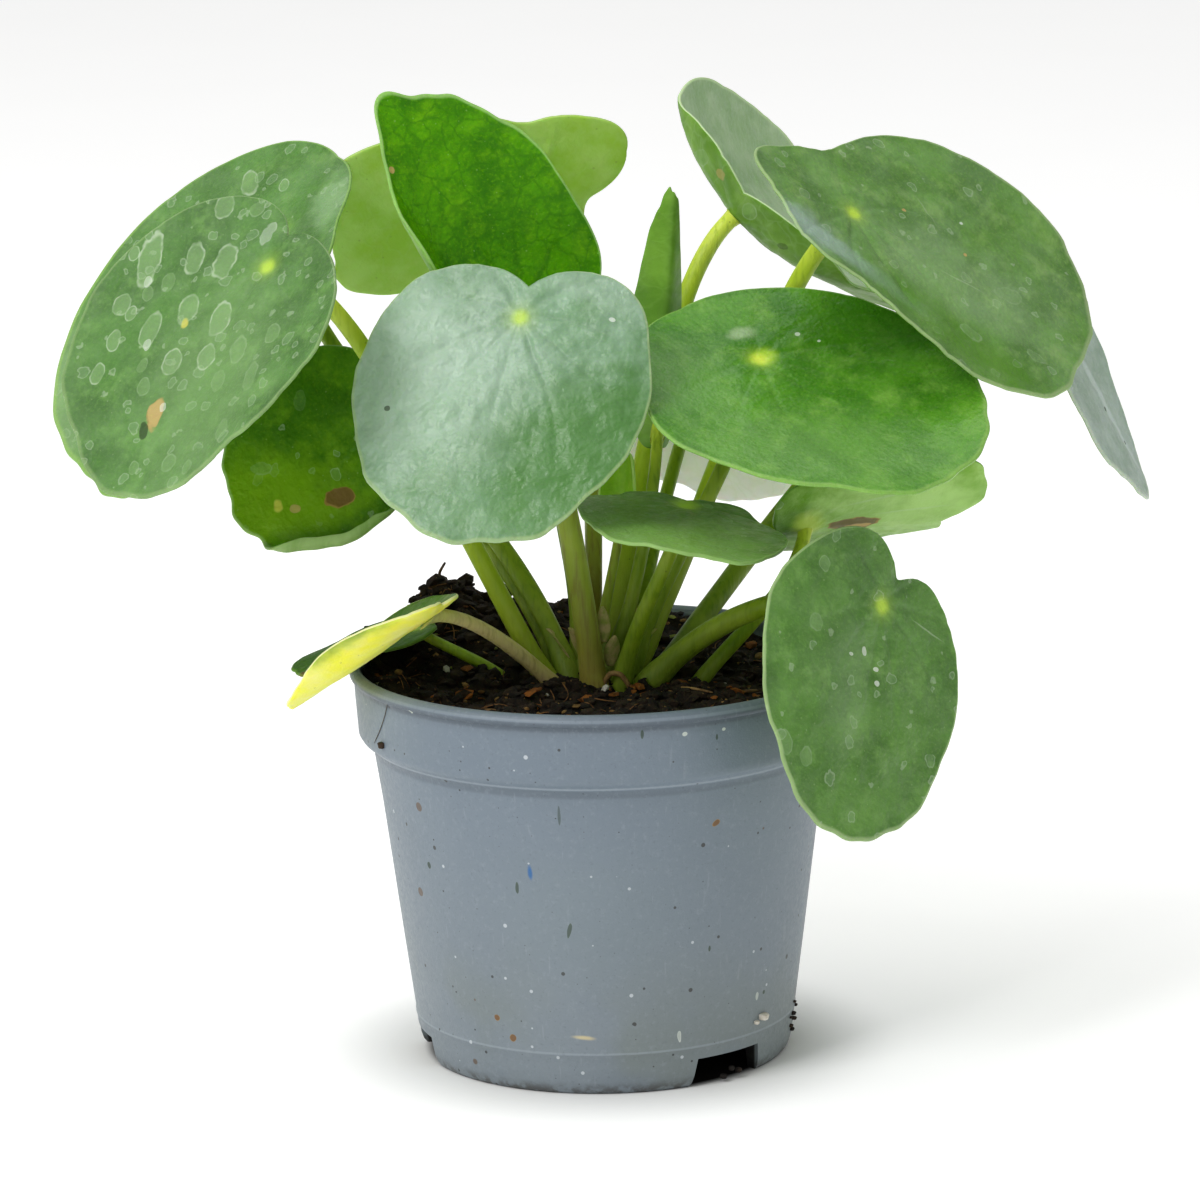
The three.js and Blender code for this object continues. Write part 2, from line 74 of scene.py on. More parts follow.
Array = np.ndarray
Tree = bpy.types.NodeTree
Socket = bpy.types.NodeSocket
Sockets = bpy.types.bpy_prop_collection
Material = bpy.types.Material
Piece = bpy.types.Object
Value = Union[float, Sequence[float], Socket]
Pair = tuple[float, float]
Triple = tuple[float, float, float]


# ---- number helpers


def colour(code: str) -> tuple[float, float, float, float]:
    """The linear RGBA of a '#rrggbb' display colour."""
    parts = np.array([int(code[i : i + 2], 16) for i in (1, 3, 5)]) / 255
    linear = np.where(parts <= 0.04045, parts / 12.92, ((parts + 0.055) / 1.055) ** 2.4)
    return (float(linear[0]), float(linear[1]), float(linear[2]), 1.0)


def smooth(value: Array, low: float, high: float) -> Array:
    """0 below low, 1 above high, and a smooth step between them (low may be the larger)."""
    share = np.clip((value - low) / (high - low), 0, 1)
    return share * share * (3 - 2 * share)


def unit(vectors: Array) -> Array:
    """The vectors at length one."""
    return vectors / np.maximum(np.linalg.norm(vectors, axis=-1, keepdims=True), 1e-12)


def lattice_noise(points: Array, size: float, seed: int) -> Array:
    """Smooth value noise: random values at the corners of cubes of a size, blended inside each cube.

    Args:
        points: Places, (..., 3).
        size: Edge of a cube, in the points' units.
        seed: Changes the pattern.

    Returns:
        Values from -1 to 1, one a point.
    """
    scaled = points / size
    cell = np.floor(scaled).astype(np.int64)
    share = scaled - cell
    share = share * share * (3 - 2 * share)
    total = np.zeros(points.shape[:-1])
    for corner in np.ndindex(2, 2, 2):
        place = cell + np.array(corner)
        key = place[..., 0] * HASH_STEPS[0] ^ place[..., 1] * HASH_STEPS[1] ^ place[..., 2] * HASH_STEPS[2]
        key = key ^ seed * HASH_SEED
        key = (key ^ (key >> 13)) * HASH_MIX & 0x7FFFFFFF
        value = ((key ^ (key >> 16)) & 0xFFFF) / 32767.5 - 1
        total += value * np.prod(np.where(np.array(corner) == 1, share, 1 - share), axis=-1)
    return total


def layered_noise(points: Array, size: float, seed: int, layers: int = 3) -> Array:
    """Lattice noise at a size, with finer and weaker layers added, roughly from -1 to 1."""
    return sum(lattice_noise(points, size / 2**k, seed + k) * 0.55**k for k in range(layers))


def lengths(corners: Array) -> Array:
    """The distance of each corner along the run of them."""
    return np.concatenate([[0], np.cumsum(np.linalg.norm(np.diff(corners, axis=0), axis=1))])


def resample(corners: Array, places: Array, wanted: Array) -> Array:
    """Points at wanted places on the straight runs between corners, whose own places are given."""
    return np.stack([np.interp(wanted, places, column) for column in corners.T], axis=-1)


def circles(tangent: Array, side: Array, count: int) -> tuple[Array, Array]:
    """Unit circles square to a line.

    Args:
        tangent: The line's direction at each of its points, (n, 3).
        side: A direction square to it, (n, 3).
        count: Number of points on a circle.

    Returns:
        The points' angles, and the circles, (n, count, 3).
    """
    angle = np.linspace(0, 2 * pi, count, endpoint=False)
    other = np.cross(tangent, side)
    return angle, side[:, None] * np.cos(angle)[:, None] + other[:, None] * np.sin(angle)[:, None]


# ---- meshes


class Part(NamedTuple):
    """Faces of a mesh that share a material."""

    faces: Array
    material: int


@dataclass(frozen=True)
class PlantFrame:
    """Where the plant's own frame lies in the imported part's frame."""

    axis: Vector

    @classmethod
    def from_pot(cls) -> "PlantFrame":
        """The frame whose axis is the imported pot's and whose ground is the pot's foot."""
        low, high = (Vector(corner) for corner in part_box("pot"))
        return cls(Vector(((low.x + high.x) / 2, (low.y + high.y) / 2, low.z)))

    def place(self, points: Array) -> Array:
        """Millimetres in the plant's frame to metres in the part's frame."""
        return points * MM + np.array(self.axis)


def skin_faces(rows: int, columns: int, start: int = 0) -> Array:
    """Quads between the rows of a grid whose columns close on themselves.

    Args:
        rows: Number of rows.
        columns: Number of points in a row.
        start: Index of the first point.

    Returns:
        Quads, ((rows - 1) * columns, 4), facing out where the rows rise and the columns run
        anticlockwise seen from the last row.
    """
    row, column = np.meshgrid(np.arange(rows - 1), np.arange(columns), indexing="ij")
    after = (column + 1) % columns
    low, high = row * columns, (row + 1) * columns
    return np.stack([low + column, low + after, high + after, high + column], axis=-1).reshape(-1, 4) + start


def fan(pole: int, start: int, columns: int, flip: bool = False) -> Array:
    """Triangles between a pole and the closed row of points that starts at an index."""
    column = start + np.arange(columns)
    pair = (column, np.roll(column, -1))
    return np.stack([np.full(columns, pole), *(pair[::-1] if flip else pair)], axis=-1)


def capped(grid: Array, poles: Sequence[Sequence[float]]) -> tuple[Array, tuple[Part, Part, Part]]:
    """Closes a grid with a pole at either end.

    Args:
        grid: Points, (rows, columns, 3), whose columns close on themselves.
        poles: The points that close the first and the last row.

    Returns:
        All points, with the poles last, and the faces: the quads, the first fan and the last fan.
    """
    rows, columns = grid.shape[:2]
    count = rows * columns
    first, last = fan(count, 0, columns, True), fan(count + 1, count - columns, columns)
    points = np.concatenate([grid.reshape(-1, 3), np.array(poles, float)])
    return points, (Part(skin_faces(rows, columns), 0), Part(first, 0), Part(last, 0))


def add(name: str, data: bpy.types.ID) -> Piece:
    """Puts an object with its data into the scene."""
    made = bpy.data.objects.new(name, data)
    bpy.context.scene.collection.objects.link(made)
    return made


def build(
    bench: "Bench",
    name: str,
    points: Array,
    parts: Sequence[Part],
    materials: Sequence[Material],
    uv: Optional[Array] = None,
    values: Optional[dict[str, Array]] = None,
    turn_out: bool = True,
) -> Piece:
    """Makes a smooth-shaded mesh object from points and faces.

    Args:
        bench: Where the plant stands.
        name: Object name.
        points: Vertices in millimetres, (n, 3).
        parts: Faces by material, each an array of triangles or quads.
        materials: The object's material slots.
        uv: Place on the piece's own surface for each vertex, (n, 2).
        values: Named values for each vertex.
        turn_out: Whether the faces are turned to point out afterwards.

    Returns:
        The new object, linked to the scene.
    """
    mesh = bpy.data.meshes.new(name)
    faces = [face for part in parts for face in part.faces.tolist()]
    mesh.from_pydata(bench.frame.place(points).tolist(), [], faces)
    for material in materials:
        mesh.materials.append(material)
    slots = np.concatenate([np.full(len(part.faces), part.material) for part in parts])
    mesh.polygons.foreach_set("material_index", slots.astype(np.int32))
    mesh.polygons.foreach_set("use_smooth", np.ones(len(faces), bool))
    corner = np.empty(len(mesh.loops), np.int32)
    mesh.loops.foreach_get("vertex_index", corner)
    if uv is not None:
        mesh.uv_layers.new(name="surface").data.foreach_set("uv", uv[corner].astype(np.float32).ravel())
    for key, data in (values or {}).items():
        mesh.attributes.new(key, "FLOAT", "POINT").data.foreach_set("value", data.astype(np.float32))
    mesh.validate()
    mesh.update()
    made = add(name, mesh)
    if turn_out:
        recalculate(made)
    return made


def recalculate(piece: Piece) -> None:
    """Turns a closed mesh's faces to point out."""
    work = bmesh.new()
    work.from_mesh(piece.data)
    bmesh.ops.recalc_face_normals(work, faces=work.faces)
    work.to_mesh(piece.data)
    work.free()


def settle(piece: Piece, slot: str, *nodes: str) -> None:
    """Rides a piece on the part, hides the parts of the nodes it stands for, and reports its faces."""
    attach(piece, "root")
    if nodes:
        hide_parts(*nodes)
    log.info("%s: %d faces", piece.name, len(piece.data.polygons))


# ---- shader kit


class Shader:
    """Short typed calls that add nodes to one node tree."""

    def __init__(self, tree: Tree) -> None:
        """Starts on a node tree."""
        self.tree = tree

    def node(self, kind: str, **settings: object) -> bpy.types.Node:
        """Adds a node of a kind with its settings."""
        made = self.tree.nodes.new(kind)
        for key, value in settings.items():
            setattr(made, key, value)
        return made

    def put(self, socket: Socket, value: Value) -> None:
        """Links a socket, or sets its value."""
        if isinstance(value, Socket):
            self.tree.links.new(value, socket)
        else:
            socket.default_value = value

    def math(self, operation: str, a: Value, b: Value = 0.0, c: Value = 0.0) -> Socket:
        """One arithmetic step on numbers."""
        made = self.node("ShaderNodeMath", operation=operation)
        for socket, value in zip(made.inputs, (a, b, c)):
            self.put(socket, value)
        return made.outputs[0]

    def vector(self, operation: str, a: Value, b: Value = (0, 0, 0)) -> Socket:
        """One arithmetic step on vectors."""
        made = self.node("ShaderNodeVectorMath", operation=operation)
        self.put(made.inputs[0], a)
        self.put(made.inputs["Scale" if operation == "SCALE" else 1], b)
        return made.outputs["Value" if operation in ("LENGTH", "DISTANCE") else "Vector"]

    def join(self, x: Value, y: Value, z: Value = 0.0) -> Socket:
        """A vector from its three numbers."""
        made = self.node("ShaderNodeCombineXYZ")
        for socket, value in zip(made.inputs, (x, y, z)):
            self.put(socket, value)
        return made.outputs[0]

    def spread(self, value: Value, low: Value, high: Value, to_low: float = 0, to_high: float = 1) -> Socket:
        """Maps a range to another with smooth ends."""
        made = self.node("ShaderNodeMapRange", interpolation_type="SMOOTHSTEP")
        for socket, item in zip(made.inputs, (value, low, high, to_low, to_high)):
            self.put(socket, item)
        return made.outputs[0]

    def band(self, value: Value, rise: Pair, fall: Pair) -> Socket:
        """1 between two ranges, and a smooth rise and fall over them."""
        return self.math("MULTIPLY", self.spread(value, *rise), self.spread(value, *fall, 1.0, 0.0))

    def mix(self, share: Value, a: Value, b: Value) -> Socket:
        """Mixes two colours by a share."""
        made = self.node("ShaderNodeMix", data_type="RGBA", blend_type="MIX")
        for socket, value in zip((made.inputs["Factor"], made.inputs[6], made.inputs[7]), (share, a, b)):
            self.put(socket, value)
        return made.outputs[2]

    def noise(self, at: Value, scale: float, detail: float = 3.0, rough: float = 0.55) -> Socket:
        """Fractal noise, from 0 to 1."""
        made = self.node("ShaderNodeTexNoise")
        for key, value in (("Vector", at), ("Scale", scale), ("Detail", detail), ("Roughness", rough)):
            self.put(made.inputs[key], value)
        return made.outputs["Fac"]

    def cloud(
        self, at: Value, scale: float, low: float, high: float, detail: float = 3.0, rough: float = 0.55
    ) -> Socket:
        """Patches of fractal noise: 0 where it is below low and 1 above high."""
        return self.spread(self.noise(at, scale, detail, rough), low, high)

    def warp(self, at: Value, scale: float, amount: float) -> Socket:
        """Places pushed about by smooth noise."""
        bend = self.node("ShaderNodeTexNoise")
        self.put(bend.inputs["Vector"], at)
        self.put(bend.inputs["Scale"], scale)
        return self.vector("ADD", at, self.vector("SCALE", bend.outputs["Color"], amount))

    def cells(self, at: Value, scale: Value, feature: str = "F1") -> bpy.types.Node:
        """A pattern of cells of a scale."""
        made = self.node("ShaderNodeTexVoronoi", feature=feature)
        self.put(made.inputs["Vector"], at)
        self.put(made.inputs["Scale"], scale)
        return made

    def bump(self, height: Value, distance: float, strength: float) -> Socket:
        """A bumped normal from a height, with the distance in metres."""
        made = self.node("ShaderNodeBump")
        for key, value in (("Height", height), ("Distance", distance), ("Strength", strength)):
            self.put(made.inputs[key], value)
        return made.outputs[0]

    def group(self, tree: Tree, **inputs: Value) -> bpy.types.Node:
        """Places a node group with its inputs."""
        made = self.node("ShaderNodeGroup", node_tree=tree)
        for key, value in inputs.items():
            self.put(made.inputs[key], value)
        return made


def new_group(name: str, outputs: Sequence[str], **inputs: Value) -> tuple[Shader, Sockets, Sockets]:
    """Starts a shader node group.

    Args:
        name: The group's name.
        outputs: Names of its number outputs.
        inputs: Its inputs with their defaults, each a number or a place.
    """
    tree = bpy.data.node_groups.new(name, "ShaderNodeTree")
    for label, default in inputs.items():
        kind = "NodeSocketVector" if isinstance(default, tuple) else "NodeSocketFloat"
        tree.interface.new_socket(label, in_out="INPUT", socket_type=kind).default_value = default
    for label in outputs:
        tree.interface.new_socket(label, in_out="OUTPUT", socket_type="NodeSocketFloat")
    kit = Shader(tree)
    return kit, kit.node("NodeGroupInput").outputs, kit.node("NodeGroupOutput").inputs


def mark_group() -> Tree:
    """An oval mark on a surface: Film is 1 inside it, and Rim is 1 along its ragged, broken outline."""
    kit, given, out = new_group(
        "surface mark", ("Film", "Rim"), Place=(0, 0, 0), Centre=(0, 0, 0), Length=5.0, Width=3.0, Turn=0.0,
        Ragged=0.3, Soft=0.1,
    )
    place = given["Place"]
    turned = kit.node("ShaderNodeVectorRotate", rotation_type="Z_AXIS")
    kit.put(turned.inputs["Vector"], kit.vector("SUBTRACT", place, given["Centre"]))
    kit.put(turned.inputs["Angle"], given["Turn"])
    size = kit.join(given["Length"], given["Width"], 1.0)
    distance = kit.vector("LENGTH", kit.vector("DIVIDE", turned.outputs[0], size))
    wander = kit.math("ADD", kit.noise(place, 0.16, 0.0), kit.noise(place, 0.34, 1.0))
    ragged = kit.math("MULTIPLY", kit.math("SUBTRACT", wander, 1.0), 2.4)
    reach = kit.math("MULTIPLY_ADD", ragged, given["Ragged"], distance)
    low, high = (kit.math(step, 1.0, given["Soft"]) for step in ("SUBTRACT", "ADD"))
    kit.put(out["Film"], kit.spread(reach, low, high, 1.0, 0.0))
    broken = kit.spread(kit.noise(place, 0.22, 2.0), 0.40, 0.62, 0.25, 1.0)
    kit.put(out["Rim"], kit.math("MULTIPLY", kit.band(reach, (0.80, 0.96), (0.98, 1.08)), broken))
    return kit.tree


def net_group() -> Tree:
    """The fine mesh of small veins between the large ones: Net is 1 along them."""
    kit, given, out = new_group("vein net", ("Net",), Place=(0, 0, 0), Scale=0.16)
    cell = kit.cells(kit.warp(given["Place"], 0.12, 9.0), given["Scale"], "DISTANCE_TO_EDGE")
    kit.put(out["Net"], kit.spread(cell.outputs["Distance"], 0.0, 0.09, 1.0, 0.0))
    return kit.tree


def draw_spots(
    kit: Shader, place: Socket, given: Sockets, least: float, more: float
) -> tuple[Socket, Socket]:
    """Draws a spot of random size in each of a share of the cells of a pattern.

    Args:
        kit: The group's kit.
        place: Place on the surface.
        given: The group's inputs, with the pattern's Scale and the share as Amount.
        least: Radius of the smallest spot, in cells.
        more: How much larger the largest is.

    Returns:
        1 in the cells that have a spot, and the distance inside the spot's outline.
    """
    cell = kit.cells(place, given["Scale"])
    draw = kit.node("ShaderNodeSeparateColor")
    kit.put(draw.inputs[0], cell.outputs["Color"])
    chosen = kit.math("LESS_THAN", draw.outputs[0], given["Amount"])
    size = kit.math("MULTIPLY_ADD", draw.outputs[1], more, least)
    return chosen, kit.math("SUBTRACT", size, cell.outputs["Distance"])


def speck_group() -> Tree:
    """Scattered specks: Mask is 1 on specks, more of them as Amount rises from 0 to 1."""
    kit, given, out = new_group("specks", ("Mask",), Place=(0, 0, 0), Scale=0.6, Amount=0.3)
    chosen, inward = draw_spots(kit, given["Place"], given, 0.05, 0.16)
    kit.put(out["Mask"], kit.math("MULTIPLY", chosen, kit.spread(inward, 0.0, 0.04)))
    return kit.tree


def droplet_group() -> Tree:
    """Dried drops: Film is 1 inside scattered uneven spots and Rim is 1 round them, more as Amount rises."""
    kit, given, out = new_group("dried drops", ("Film", "Rim"), Place=(0, 0, 0), Scale=0.2, Amount=0.3)
    chosen, inward = draw_spots(kit, kit.warp(given["Place"], 0.35, 2.6), given, 0.16, 0.26)
    kit.put(out["Film"], kit.math("MULTIPLY", chosen, kit.spread(inward, -0.01, 0.05)))
    kit.put(out["Rim"], kit.math("MULTIPLY", chosen, kit.band(inward, (-0.02, 0.01), (0.03, 0.08))))
    return kit.tree


@dataclass
class Bench:
    """What every piece is made with: the plant's frame, and the node groups, each built once."""

    frame: PlantFrame
    mark: Tree = field(default_factory=mark_group)
    drops: Tree = field(default_factory=droplet_group)
    net: Tree = field(default_factory=net_group)
    specks: Tree = field(default_factory=speck_group)


@dataclass(frozen=True)
class MarkStyle:
    """How a kind of mark looks: its film and rim colours and how strongly they cover the surface."""

    film: str
    film_share: float
    rim: str
    rim_share: float
    ragged: float = 0.25
    soft: float = 0.08


class MarkKind(Enum):
    """Kinds of mark on a blade or on the pot."""

    WATER = MarkStyle("#8fb07a", 0.36, "#c8d8bc", 0.44, 0.22)
    GHOST = MarkStyle("#86a870", 0.30, "#a9c09a", 0.26, 0.28)
    CHALK = MarkStyle("#dfe6da", 0.65, "#eef2ea", 0.50, 0.50)
    YELLOW = MarkStyle("#d8cf5a", 0.80, "#b7c25a", 0.50, 0.45, 0.30)
    BROWN = MarkStyle("#74522c", 0.92, "#a88a48", 0.75, 0.35)
    TAN = MarkStyle("#c0a468", 0.85, "#8d8447", 0.55, 0.35)
    DARK = MarkStyle("#26381a", 0.75, "#3f5a26", 0.40, 0.45, 0.15)
    # A soft tint in its mark's own colour: the surface's own tone, and on some blades painted sheen and
    # painted highlights, as noted where they are listed.
    WASH = MarkStyle("#ffffff", 0.85, "#ffffff", 0.0, 0.25, 0.55)
    LINE = MarkStyle("#b9ccaa", 0.55, "#b9ccaa", 0.0, 0.05, 0.45)


WATER, GHOST, CHALK, YELLOW, BROWN, TAN, DARK, WASH, LINE = MarkKind


class Mark(NamedTuple):
    """A mark on a surface map, in millimetres and degrees, with a tint where it isn't its kind's colour.

    A blade's map has its dot at the middle, x across the blade and y towards the tip.
    """

    kind: MarkKind
    x: float
    y: float
    length: float
    width: float
    turn: float = 0.0
    strength: float = 1.0
    tint: str = ""


class Dressing:
    """One node material under construction: its shader, its places, and its colour and roughness so far."""

    def __init__(self, name: str, bench: Bench) -> None:
        """Starts a material whose shader is linked and waits for its colours."""
        self.material = bpy.data.materials.new(name)
        self.material.use_nodes = True
        tree = self.material.node_tree
        tree.nodes.clear()
        self.bench = bench
        self.kit = Shader(tree)
        self.shader = self.kit.node("ShaderNodeBsdfPrincipled")
        tree.links.new(self.shader.outputs[0], self.kit.node("ShaderNodeOutputMaterial").inputs[0])
        self.shade: Value = (1, 1, 1, 1)
        self.rough: Value = 0.5

    def places(self) -> Socket:
        """Object coordinates in millimetres."""
        return self.kit.vector("SCALE", self.kit.node("ShaderNodeTexCoord").outputs["Object"], 1 / MM)

    def surface(self) -> Socket:
        """The piece's own surface map, scaled back to millimetres round its origin."""
        uv = self.kit.node("ShaderNodeUVMap", uv_map="surface").outputs[0]
        return self.kit.vector("SCALE", self.kit.vector("SUBTRACT", uv, (0.5, 0.5, 0)), UV_SPAN)

    def value(self, name: str) -> Socket:
        """A named value of the mesh."""
        return self.kit.node("ShaderNodeAttribute", attribute_name=name).outputs["Fac"]

    def start(self, share: Value, main: str, other: str) -> None:
        """Starts the colour with two display colours mixed by a share."""
        self.shade = self.kit.mix(share, colour(main), colour(other))

    def lay(self, mask: Value, code: str, share: float = 1.0) -> None:
        """Lays a display colour over the colour so far where a mask is, at a share of its strength."""
        if share != 1.0:
            mask = self.kit.math("MULTIPLY", mask, share)
        self.shade = self.kit.mix(mask, self.shade, colour(code))

    def strew(self, place: Value, scale: float, amount: float, code: str, share: float) -> None:
        """Strews specks of a display colour over the colour so far."""
        specks = self.kit.group(self.bench.specks, Place=place, Scale=scale, Amount=amount)
        self.lay(specks.outputs["Mask"], code, share)

    def roughen(self, place: Value, scale: float, low: float, high: float, detail: float = 3.0) -> None:
        """Lets the roughness wander between two values with fractal noise."""
        self.rough = self.kit.spread(self.kit.noise(place, scale, detail), *MOST_NOISE, low, high)

    def mark(self, flat: Socket, mark: Mark) -> None:
        """Lays one mark over the colour and roughness so far, on a surface map in millimetres."""
        style = mark.kind.value
        node = self.kit.group(
            self.bench.mark, Place=flat, Centre=(mark.x, mark.y, 0.0), Length=mark.length / 2,
            Width=mark.width / 2, Turn=radians(-mark.turn), Ragged=style.ragged, Soft=style.soft,
        )
        film, rim = node.outputs["Film"], node.outputs["Rim"]
        self.lay(film, mark.tint or style.film, style.film_share * mark.strength)
        if style.rim_share:
            self.lay(rim, style.rim, style.rim_share * mark.strength)
        if mark.kind is not WASH:
            self.rough = self.kit.math("MULTIPLY_ADD", film, MARK_DULLS * mark.strength, self.rough)

    def set(self, **values: Value) -> None:
        """Sets or links the shader's sockets, with underscores for the spaces in their names."""
        for key, value in values.items():
            self.kit.put(self.shader.inputs[key.replace("_", " ")], value)

    def close(self, height: Value, distance: float, strength: float, **values: Value) -> Material:
        """Gives the shader its colour, roughness, bump and other values.

        Args:
            height: Height of the bump.
            distance: What a height of 1 stands for, in metres.
            strength: Share of the bump that shows.
            values: Other sockets of the shader, with underscores for the spaces in their names.

        Returns:
            The material.
        """
        normal = self.kit.bump(height, distance, strength)
        self.set(Base_Color=self.shade, Roughness=self.rough, Normal=normal, **values)
        return self.material


# ---- leaf shape


@dataclass(frozen=True)
class LeafShape:
    """A blade on its stalk, in millimetres and degrees, in the plant's own frame.

    at is the dot where the stalk joins the blade. faces is the compass bearing of the upper face, from the
    front and positive to the right, and its height. spin swings the tip away from the steepest way down.
    size is the flattened width and length, dot the share of the length above the dot, curl the bend of the
    two halves, and arch the bend from dot to tip. bulges are places where the margin stands further out
    or in: an angle from the tip, its spread, and the share. brim turns up the part beyond the dot. roll is a
    stretch of margin that turns over: its angle, reach and turn. stalk is the foot and two control points.
    """

    label: str
    at: Triple
    faces: Pair
    spin: float
    size: Pair
    stalk: tuple[Triple, ...]
    radii: Pair
    waves: int
    dot: float = 0.17
    notch: float = 0.08
    heart: float = 0.08
    fold: float = 0.0
    skew: float = 0.0
    bulges: tuple[Triple, ...] = ()
    curl: Pair = (0.0, 0.0)
    arch: float = 0.0
    brim: float = 0.0
    roll: Triple = (0.0, 0.0, 0.0)

    def axes(self) -> tuple[Array, Array, Array]:
        """Across the blade, down it towards the tip, and out of its upper face."""
        bearing, height = (radians(angle) for angle in self.faces)
        out = np.array([sin(bearing) * cos(height), -cos(bearing) * cos(height), sin(height)])
        downhill = np.array([sin(bearing) * sin(height), -cos(bearing) * sin(height), -cos(height)])
        level = np.cross(out, downhill)
        tip = downhill * cos(radians(self.spin)) + level * sin(radians(self.spin))
        return np.cross(out, tip), tip, out

    def margin(self, angle: Array) -> tuple[Array, Array]:
        """The flattened margin at an angle from the tip: an oval with a notch, bulges and scallops."""
        width, length = self.size
        tip_share = 0.5 + 0.5 * np.cos(angle)
        scallop = 1 + 0.012 * tip_share * np.sin(9 * angle + self.waves)
        scallop = scallop + 0.008 * np.sin(5 * angle + 2 * self.waves)
        scallop = scallop + 0.004 * tip_share * np.sin(23 * angle + 3 * self.waves)
        for degrees, spread, amount in self.bulges:
            away = np.angle(np.exp(1j * (angle - radians(degrees)))) / radians(spread)
            scallop = scallop + amount * np.exp(-(away**2))
        across = 0.5 * width * np.sin(angle) * (1 - self.heart * np.cos(angle)) * scallop
        near_notch = np.exp(-np.abs(pi - np.abs(angle)) / 0.22)
        along = length * (0.5 - self.dot + 0.5 * np.cos(angle)) * scallop
        return across, along + self.notch * length * near_notch + self.skew * across

    def flat(self, share: Array, angle: Array) -> tuple[Array, Array]:
        """Flattened place of a point at a share of the way from the dot to the margin."""
        across, along = self.margin(angle)
        return share * across, share * along

    def bent(self, share: Array, angle: Array) -> Array:
        """The mid surface: the flat oval curled across, arched along, creased and rippled."""
        width, length = self.size
        across, along = self.flat(share, angle)
        bend = np.radians(np.where(across < 0, self.curl[0], self.curl[1])) / (width / 2) + 1e-9
        arch = radians(self.arch) / length + 1e-9
        lift = (1 - np.cos(bend * across)) / bend + (1 - np.cos(arch * along)) / arch
        lift = lift + self.fold * (np.hypot(across, 3) - 3) + 0.6 * share**2 * np.sin(4 * angle + self.waves)
        beyond = 0.5 * (np.hypot(along, 3) - along - 3)
        lift = lift + beyond * sin(radians(self.brim))
        onward = np.sin(arch * along) / arch + beyond * (1 - cos(radians(self.brim)))
        right, tip, out = self.axes()
        steps = (np.sin(bend * across) / bend, onward, lift)
        return np.array(self.at) + sum(step[..., None] * axis for step, axis in zip(steps, (right, tip, out)))

    def surface(self, share: Array, angle: Array) -> Array:
        """The mid surface with its rolled margin: past a share of the way out, a stretch turns over."""
        where, reach, turn = self.roll
        if not turn:
            return self.bent(share, angle)
        start = 0.94
        away = np.abs(np.angle(np.exp(1j * (angle - radians(where)))))
        window = smooth(away, radians(reach), radians(reach) * 0.4)
        held = self.bent(np.minimum(share, start), angle)
        edge = self.bent(np.ones_like(share), angle) - self.bent(np.full_like(share, start), angle)
        length = np.linalg.norm(edge, axis=-1, keepdims=True)
        sweep = np.maximum(radians(turn) * window, 1e-6)[..., None]
        travel = np.clip((share - start) / (1 - start), 0, None)[..., None]
        longer = 1 + 2.6 * window[..., None]
        rolled = longer * np.sin(sweep * travel) / sweep * edge
        lifted = longer * (1 - np.cos(sweep * travel)) / sweep * length * self.axes()[2]
        return held + rolled + lifted

    def normal(self, share: Array, angle: Array) -> Array:
        """Unit normal of the mid surface on the upper side, from short steps along it."""
        step = 0.004
        inside = np.maximum(share, 5 * step)
        outward = self.surface(inside + step, angle) - self.surface(inside - step, angle)
        around = self.surface(inside, angle + step) - self.surface(inside, angle - step)
        return unit(np.cross(outward, around))


